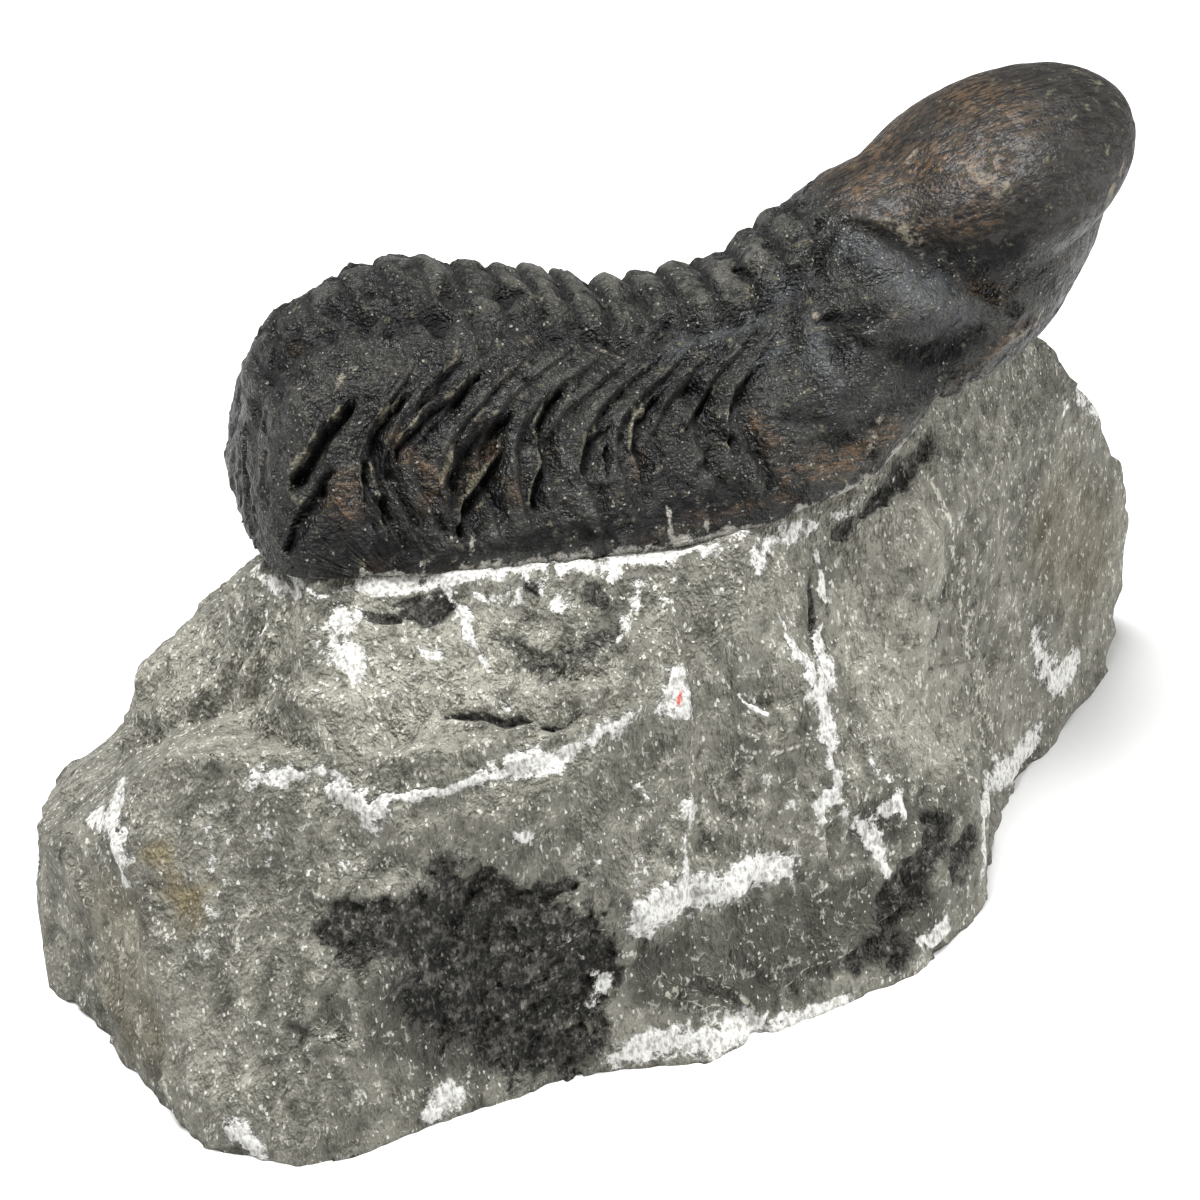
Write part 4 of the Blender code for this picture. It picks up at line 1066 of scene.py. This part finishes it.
def make_body():
    tail = np.arange(-12, -TAIL_RINGS, TAIL_ROW_STEP)
    plated = np.arange(-TAIL_RINGS, THORAX_RINGS + 1, PLATE_ROW_STEP)
    head = np.arange(THORAX_RINGS + 1, 32, HEAD_ROW_STEP)
    grid, marks = body_surface(np.concatenate([tail, plated, head]), BODY_COLUMNS)
    count, columns = grid.shape[:2]
    near = np.arange(count - 1) * columns
    belly = np.stack([near, near + columns - 1, near + 2 * columns - 1, near + columns], axis=-1)
    last = (count - 1) * columns
    ends = [list(range(columns)), list(range(last, last + columns))[::-1]]
    faces = grid_faces(count, columns)[:, ::-1].tolist() + belly.tolist() + ends
    marks = {name: values.ravel() for name, values in marks.items()}
    return add_piece("trilobite_body", grid.reshape(-1, 3), faces, marks, "trilobite")


body = make_body()

# %% [markdown]
# ## Materials
#
# Both stones share one effect: tiny bright crystals scattered through a ground of uneven tone. It is built
# once as a node group and placed in each material with its own sizes. The markings on the points say
# roughly where a bruise or a brown facet lies, and noise in the shader gives them their crumbly edges.


# %% Node helpers
def node(tree, kind, settings=None, **values):
    """A shader node with settings and input values; a value that is a socket is linked instead.

    Inputs go by name, with _ for a space, or by number: i0 is the first.
    """
    made = tree.nodes.new(kind)
    for name, value in (settings or {}).items():
        setattr(made, name, value)
    for name, value in values.items():
        key = int(name[1:]) if name[0] == "i" and name[1:].isdigit() else name.replace("_", " ")
        if isinstance(value, bpy.types.NodeSocket):
            tree.links.new(value, made.inputs[key])
        else:
            made.inputs[key].default_value = value
    return made


def worked(tree, operation, a, b=0.0, c=0.0, clamp=False):
    """The result of one Math node. Most operations read only a and b, and some only a."""
    settings = {"operation": operation, "use_clamp": clamp}
    return node(tree, "ShaderNodeMath", settings, i0=a, i1=b, i2=c).outputs[0]


def plus(tree, a, b, clamp=False):
    return worked(tree, "ADD", a, b, clamp=clamp)


def minus(tree, a, b):
    return worked(tree, "SUBTRACT", a, b)


def times(tree, a, b):
    return worked(tree, "MULTIPLY", a, b)


def blended(tree, amount, a, b):
    """Colour a where the amount is 0, colour b where it is 1."""
    made = node(tree, "ShaderNodeMix", {"data_type": "RGBA"})
    for key, value in ((0, amount), (6, a), (7, b)):
        if isinstance(value, bpy.types.NodeSocket):
            tree.links.new(value, made.inputs[key])
        else:
            made.inputs[key].default_value = value if key == 0 else (*value, 1)
    return made.outputs[2]


def painted(tree, colour, share, strength, paint):
    """A colour with paint over it where the share is above zero, and `strength` of it where it is 1."""
    return blended(tree, times(tree, share, strength), colour, paint)


def between(tree, value, start, end):
    """0 below `start`, 1 above `end`, smooth between."""
    settings = {"interpolation_type": "SMOOTHSTEP"}
    return node(tree, "ShaderNodeMapRange", settings, i0=value, i1=start, i2=end, i3=0.0, i4=1.0).outputs[0]


def grain(tree, place, size, detail=4.0, rough=0.6):
    """Noise whose features are `size` millimetres across."""
    scale = 1 / (size * MM)
    made = node(tree, "ShaderNodeTexNoise", Vector=place, Scale=scale, Detail=detail, Roughness=rough)
    return made.outputs[0]


def marked(tree, name):
    """A marking that the mesh carries on its points."""
    return node(tree, "ShaderNodeAttribute", {"attribute_name": name}).outputs["Fac"]


def covered(tree, name, fine, start, end):
    """How much of a marking is here, with crumbly edges made by fine noise."""
    crumbs = worked(tree, "MULTIPLY_ADD", fine, 3.0, -1.5)
    return between(tree, plus(tree, marked(tree, name), crumbs), start, end)


print("features of 1 mm need a noise scale of", round(1 / MM), "per metre")


# %% The shared effect: chipped stone
GRIT_SIZE, TONE_SIZE, SPECKS_PER_CHIP = 0.26, 4.0, 3.4


def chipped_group():
    """A group that gives bright specks, a slow tone, the height of a chipped surface and its grit.

    Each large Voronoi cell is a facet with a slope of its own: height = (place - centre) . (colour - 0.5),
    where the cell's colour serves as its random slope, and fine grit is added. A speck sits at the centre
    of a small cell whose red is high: the higher, the larger the speck.
    """
    tree = bpy.data.node_groups.new("chipped stone", "ShaderNodeTree")
    for name, kind in (("Place", "Vector"), ("Chips per metre", "Float"), ("Specks from", "Float")):
        tree.interface.new_socket(name, in_out="INPUT", socket_type="NodeSocket" + kind)
    for name in ("Specks", "Tone", "Height", "Grit"):
        tree.interface.new_socket(name, in_out="OUTPUT", socket_type="NodeSocketFloat")
    asked, given = tree.nodes.new("NodeGroupInput"), tree.nodes.new("NodeGroupOutput")
    place, density, least = asked.outputs[:3]

    def vectors(operation, a, b):
        return node(tree, "ShaderNodeVectorMath", {"operation": operation}, i0=a, i1=b).outputs

    def cells(parts):
        """The place in units of a cell, and the Voronoi cells there, `parts` times as many as the chips."""
        scale = times(tree, density, parts)
        spot = node(tree, "ShaderNodeVectorMath", {"operation": "SCALE"}, i0=place, Scale=scale).outputs[0]
        return spot, node(tree, "ShaderNodeTexVoronoi", Vector=spot, Scale=1.0).outputs

    grit = grain(tree, place, GRIT_SIZE, 1.0, 0.6)
    spot, large = cells(1.0)
    away = vectors("SUBTRACT", spot, large["Position"])[0]
    slope = vectors("SUBTRACT", large["Color"], (0.5, 0.5, 0.5))[0]
    facet = vectors("DOT_PRODUCT", away, slope)["Value"]
    _, small = cells(SPECKS_PER_CHIP)
    red = node(tree, "ShaderNodeSeparateColor", i0=small["Color"]).outputs[0]
    room = minus(tree, worked(tree, "MULTIPLY_ADD", grit, 0.9, -0.45), least)
    inside = minus(tree, plus(tree, red, room), small["Distance"])
    results = {
        "Specks": between(tree, inside, 0.0, 0.08),
        "Tone": grain(tree, place, TONE_SIZE, 4.0, 0.70),
        "Height": plus(tree, facet, times(tree, grit, 0.4)),
        "Grit": grit,
    }
    for name, socket in results.items():
        tree.links.new(socket, given.inputs[name])
    print("chipped stone:", len(tree.nodes), "nodes")
    return tree


CHIPPED = chipped_group()


def new_material(name, roughness, specular):
    """An empty material: its tree, its shader and the place on the piece."""
    material = bpy.data.materials.new(name)
    material.use_nodes = True
    tree = material.node_tree
    shader = tree.nodes["Principled BSDF"]
    shader.inputs["Roughness"].default_value = roughness
    shader.inputs["Specular IOR Level"].default_value = specular
    return material, tree, shader, node(tree, "ShaderNodeTexCoord").outputs["Object"]


def chipped(tree, place, size, least):
    """Specks, tone, height and grit from the shared group, for chips of `size` millimetres."""
    made = node(tree, "ShaderNodeGroup", {"node_tree": CHIPPED}, Place=place, Specks_from=least)
    made.inputs["Chips per metre"].default_value = 1 / (size * MM)
    return made.outputs


def bumped(tree, shader, height, strength, distance):
    """Joins a height, in parts of `distance` millimetres, to the shader's normal."""
    made = node(tree, "ShaderNodeBump", Height=height, Strength=strength, Distance=distance * MM)
    tree.links.new(made.outputs[0], shader.inputs["Normal"])


# %% [markdown]
# ## Limestone
#
# Fresh limestone is a warm grey with a fine sparkle. Slow noise shifts it between a darker and a lighter
# grey, and the marked tone adds painted light and shade on faces and facets. Thin pale lips run along the
# edges of lifted flakes, and on the ledges they are partly a painted highlight. Painted shadow lies under
# some flakes, and the bruises are dry white powder. Each is a coat of paint over the one before, laid on by a
# mark or by noise, which is easy to read and to change.


# %% The limestone
DARK_GREY, LIGHT_GREY, DEEP_GREY = (0.065, 0.063, 0.052), (0.300, 0.292, 0.245), (0.050, 0.049, 0.040)
# The colour of the ledge lips is partly a painted highlight.
PALE_GRAIN, FLAKE_EDGE, PALE_AND_LIT_LEDGE_LIP = (0.46, 0.45, 0.40), (0.58, 0.57, 0.48), (0.66, 0.645, 0.55)
SPECK, DIM_SPECK, RUST, RED = (0.66, 0.65, 0.60), (0.5, 0.49, 0.45), (0.17, 0.125, 0.045), (0.55, 0.10, 0.07)
NIGHT, NIGHT_RIDGE, FIBRE = (0.002, 0.002, 0.002), (0.100, 0.097, 0.084), (0.110, 0.104, 0.090)
THIN_POWDER, POWDER = (0.34, 0.335, 0.31), (0.70, 0.695, 0.665)


def limestone():
    """Paint from the ground up: grain and tone with painted light and shade, flakes, ledge lips that are
    partly a painted highlight, specks, the dark skin with painted shadow under flakes, and the white powder
    last.
    """
    material, tree, shader, place = new_material("limestone", 0.75, 0.2)
    upright = node(tree, "ShaderNodeMapping", Vector=place, Rotation=(0.3, 0.15, 0.0), Scale=(1.0, 1.0, 0.5))
    upright = upright.outputs[0]
    fine, shade = grain(tree, place, 0.9, 3.0, 0.75), marked(tree, "shade")
    least = minus(tree, worked(tree, "MULTIPLY_ADD", fine, -1.1, 1.12), times(tree, shade, 0.10))
    specks, tone, height, grit = chipped(tree, upright, 0.9, least)
    # The marked tone carries painted light and shade: lit faces and raised facets lighter, sunk ones darker.
    level = between(tree, plus(tree, tone, times(tree, shade, 0.36)), 0.0, 1.0)
    colour = blended(tree, level, DARK_GREY, LIGHT_GREY)
    colour = painted(tree, colour, between(tree, fine, 0.47, 0.33), 0.6, DEEP_GREY)
    colour = painted(tree, colour, between(tree, fine, 0.56, 0.70), 0.55, PALE_GRAIN)

    flake = worked(tree, "ABSOLUTE", minus(tree, grain(tree, upright, 0.9, 1.0, 0.6), 0.5))
    flake = times(tree, between(tree, flake, 0.022, 0.004), between(tree, fine, 0.48, 0.58))
    colour = painted(tree, colour, flake, 0.5, FLAKE_EDGE)
    # A pale lip along each ledge, partly a painted highlight.
    side = marked(tree, "ledge")
    lip = times(tree, between(tree, side, -0.15, 0.1), between(tree, side, 0.7, 0.3))
    broken = between(tree, plus(tree, marked(tree, "near ledge"), times(tree, grit, 4.0)), 2.85, 3.3)
    colour = painted(tree, colour, times(tree, lip, broken), 0.6, PALE_AND_LIT_LEDGE_LIP)
    colour = painted(tree, colour, specks, 0.7, SPECK)
    colour = painted(tree, colour, marked(tree, "stain"), 0.6, RUST)

    # The dark patch and corner, the cracks and the scar, and painted shadow under the flakes.
    night = blended(tree, between(tree, fine, 0.46, 0.72), NIGHT, NIGHT_RIDGE)
    night = painted(tree, night, between(tree, grit, 0.50, 0.70), 0.5, FIBRE)
    night = painted(tree, night, specks, 0.2, DIM_SPECK)
    colour = painted(tree, colour, covered(tree, "dark", fine, -0.15, 0.45), 0.93, night)
    chalk = covered(tree, "chalk", fine, -0.05, 0.40)
    powder = blended(tree, between(tree, grit, 0.28, 0.60), THIN_POWDER, POWDER)
    colour = painted(tree, colour, chalk, 0.95, powder)
    colour = blended(tree, marked(tree, "red"), colour, RED)
    tree.links.new(colour, shader.inputs["Base Color"])
    relief = plus(tree, height, times(tree, fine, 0.35))
    relief = times(tree, relief, minus(tree, 1.0, times(tree, chalk, 0.5)))
    bumped(tree, shader, relief, 1.0, 1.0)
    print("limestone:", len(tree.nodes), "nodes")
    return material


rock.data.materials.append(limestone())


# %% [markdown]
# ## Black calcite
#
# The fossil is nearly black, with a low sheen where the brush has rubbed it and none in the hollows. Brown
# shows on the facets and on the head, pale grains catch the light, and the lower margin is dusted white.
# Painted light and shade lie over it: painted shade in the hollows, slots, pits and between the rings, paler
# crests that are partly wear and partly painted highlight, pale slot lips that are partly a painted
# highlight, and a painted bluish sheen on the eye and the ridges of the head.


# %% The fossil
# Painted light among these: the crest grey is partly a painted highlight, the colours of low places and of
# shadow are painted shade, the bluish one is a painted sheen, and the pale lip is partly a painted highlight.
COAL, DARK_STONE, WORN_AND_LIT_GREY = (0.004, 0.004, 0.004), (0.026, 0.026, 0.023), (0.160, 0.157, 0.132)
PAINTED_HOLLOW_SHADE, UNLIT, PAINTED_SHEEN_BLUE = (0.002, 0.002, 0.002), (0.003, 0.003, 0.003), (0.075, 0.080, 0.086)
RUBBED_DARK, RUBBED, CREAM_COLOUR = (0.005, 0.004, 0.003), (0.026, 0.022, 0.018), (0.46, 0.41, 0.31)
EARTH_DARK, EARTH, DUST = (0.012, 0.008, 0.005), (0.125, 0.074, 0.036), (0.50, 0.48, 0.43)
PALE_AND_LIT_LIP, PALE_SPECK = (0.19, 0.175, 0.12), (0.36, 0.35, 0.30)


def calcite():
    """Paint from the ground up: coal, paler crests and painted shade in low places, rubbed top, painted
    bluish sheen, earth, painted shadow, pale lips with painted highlight, specks and dust.
    """
    material, tree, shader, place = new_material("black calcite", 0.5, 0.36)
    fine = grain(tree, place, 0.8, 3.0, 0.75)
    least = worked(tree, "MULTIPLY_ADD", fine, -0.8, 1.14)
    specks, tone, height, _ = chipped(tree, place, 1.0, least)
    brushed = node(tree, "ShaderNodeMapping", Vector=place, Rotation=(0.0, 0.6, 0.0), Scale=(0.25, 1.0, 1.0))
    brushed = grain(tree, brushed.outputs[0], 0.35, 2.0, 0.65)
    polish = marked(tree, "polish")
    rough = minus(tree, 1.0, times(tree, polish, 0.75))

    colour = blended(tree, between(tree, tone, 0.38, 0.62), COAL, DARK_STONE)
    # Crests painted paler, partly as wear and partly as painted highlight, and low places darker as painted
    # shade.
    wear_and_light = plus(tree, fine, times(tree, marked(tree, "crest"), 0.21))
    colour = painted(tree, colour, between(tree, wear_and_light, 0.50, 0.80), 0.7, WORN_AND_LIT_GREY)
    colour = painted(tree, colour, between(tree, wear_and_light, 0.44, 0.28), 0.8, PAINTED_HOLLOW_SHADE)
    dull = blended(tree, between(tree, brushed, 0.38, 0.62), RUBBED_DARK, RUBBED)
    colour = painted(tree, colour, polish, 0.8, dull)
    # A painted bluish sheen on the eye and the ridges of the head.
    colour = painted(tree, colour, covered(tree, "painted_sheen", fine, -0.2, 0.8), 0.6, PAINTED_SHEEN_BLUE)
    earth = blended(tree, between(tree, brushed, 0.42, 0.64), EARTH_DARK, EARTH)
    colour = painted(tree, colour, covered(tree, "brown", fine, -0.4, 1.0), 0.7, earth)
    # Painted shade in the slots, pits and furrows, between rings, behind plate edges and in the marked
    # hollows.
    black = covered(tree, "black", fine, -0.2, 0.6)
    colour = painted(tree, colour, black, 0.9, UNLIT)
    # The pale lip of each slot, partly a painted highlight.
    colour = painted(tree, colour, covered(tree, "lip", fine, 0.2, 0.8), 0.6, PALE_AND_LIT_LIP)
    colour = painted(tree, colour, times(tree, specks, rough), 0.6, PALE_SPECK)
    cream = times(tree, between(tree, marked(tree, "cream"), -0.3, 0.5), between(tree, fine, 0.46, 0.58))
    colour = painted(tree, colour, cream, 0.35, CREAM_COLOUR)
    dust = covered(tree, "dust", fine, 0.1, 0.6)
    colour = painted(tree, colour, dust, 0.6, DUST)
    tree.links.new(colour, shader.inputs["Base Color"])

    sheen = node(tree, "ShaderNodeMapRange", i0=fine, i1=0.38, i2=0.60, i3=0.50, i4=0.20).outputs[0]
    sheen = worked(tree, "MAXIMUM", sheen, times(tree, polish, 0.45))
    matt = times(tree, worked(tree, "MAXIMUM", black, dust), 0.5)
    tree.links.new(plus(tree, sheen, matt, clamp=True), shader.inputs["Roughness"])
    relief = plus(tree, plus(tree, height, times(tree, fine, 0.25)), times(tree, brushed, 0.3))
    bumped(tree, shader, times(tree, relief, rough), 1.0, 0.8)
    print("black calcite:", len(tree.nodes), "nodes")
    return material


body.data.materials.append(calcite())

# %% [markdown]
# ## Floor, light and camera
#
# The fossil stands on a plain pale floor under a broad soft light, with enough light from all round to
# keep its hollows readable. The camera looks down from the right flank, a little from the tail.

# %% The stage
TARGET, AZIMUTH, ELEVATION, DISTANCE, VIEW_WIDTH = (0, 0, 17), -15, 37, 175, 80


def make_floor(half=0.9, level=-0.00003):
    """A pale square on the ground, a hair below zero, so that the block's flat foot stands clear of it."""
    mesh = bpy.data.meshes.new("floor")
    corners = [(-half, -half, level), (half, -half, level), (half, half, level), (-half, half, level)]
    mesh.from_pydata(corners, [], [(0, 1, 2, 3)])
    material, _, shader, _ = new_material("pale floor", 0.9, 0.2)
    shader.inputs["Base Color"].default_value = (0.86, 0.86, 0.855, 1)
    mesh.materials.append(material)
    floor = bpy.data.objects.new("floor", mesh)
    bpy.context.scene.collection.objects.link(floor)


def aim(thing, place, target):
    """Puts a camera or a light at `place` and turns it to the target, both in metres."""
    way = np.array(target) - place
    flat = math.hypot(way[0], way[1])
    thing.location = place
    thing.rotation_euler = (math.atan2(flat, -way[2]), 0, math.atan2(-way[0], way[1]))
    bpy.context.scene.collection.objects.link(thing)


def add_light(name, place, size, power):
    """A square light `size` metres across, of so many watts, that shines on the middle of the block."""
    light = bpy.data.lights.new(name, "AREA")
    light.size = size
    light.energy = power
    aim(bpy.data.objects.new(name, light), np.array(place), (0, 0, 0.02))


make_floor()
add_light("soft light above", (-0.09, 0.02, 0.44), 0.20, 3.7)
add_light("fill from the right", (0.40, -0.22, 0.22), 0.36, 1.8)
world = bpy.data.worlds.new("studio")
world.use_nodes = True
world.node_tree.nodes["Background"].inputs[0].default_value = (1.0, 1.0, 1.0, 1)
world.node_tree.nodes["Background"].inputs[1].default_value = 0.24
bpy.context.scene.world = world
bpy.context.scene.view_settings.view_transform = "Standard"

# %% The camera
azimuth, elevation = math.radians(AZIMUTH), math.radians(ELEVATION)
flat = math.cos(elevation)
back = np.array([math.sin(azimuth) * flat, -math.cos(azimuth) * flat, math.sin(elevation)])
target = (np.array(TARGET) - ORIGIN) * MM
lens = bpy.data.cameras.new("camera")
lens.lens = lens.sensor_width * DISTANCE / VIEW_WIDTH
lens.clip_start = 0.01
camera = bpy.data.objects.new("camera", lens)
aim(camera, target + back * DISTANCE * MM, target)
bpy.context.scene.camera = camera
print("camera at", [round(float(v), 4) for v in camera.location], "lens", round(lens.lens, 2), "mm")
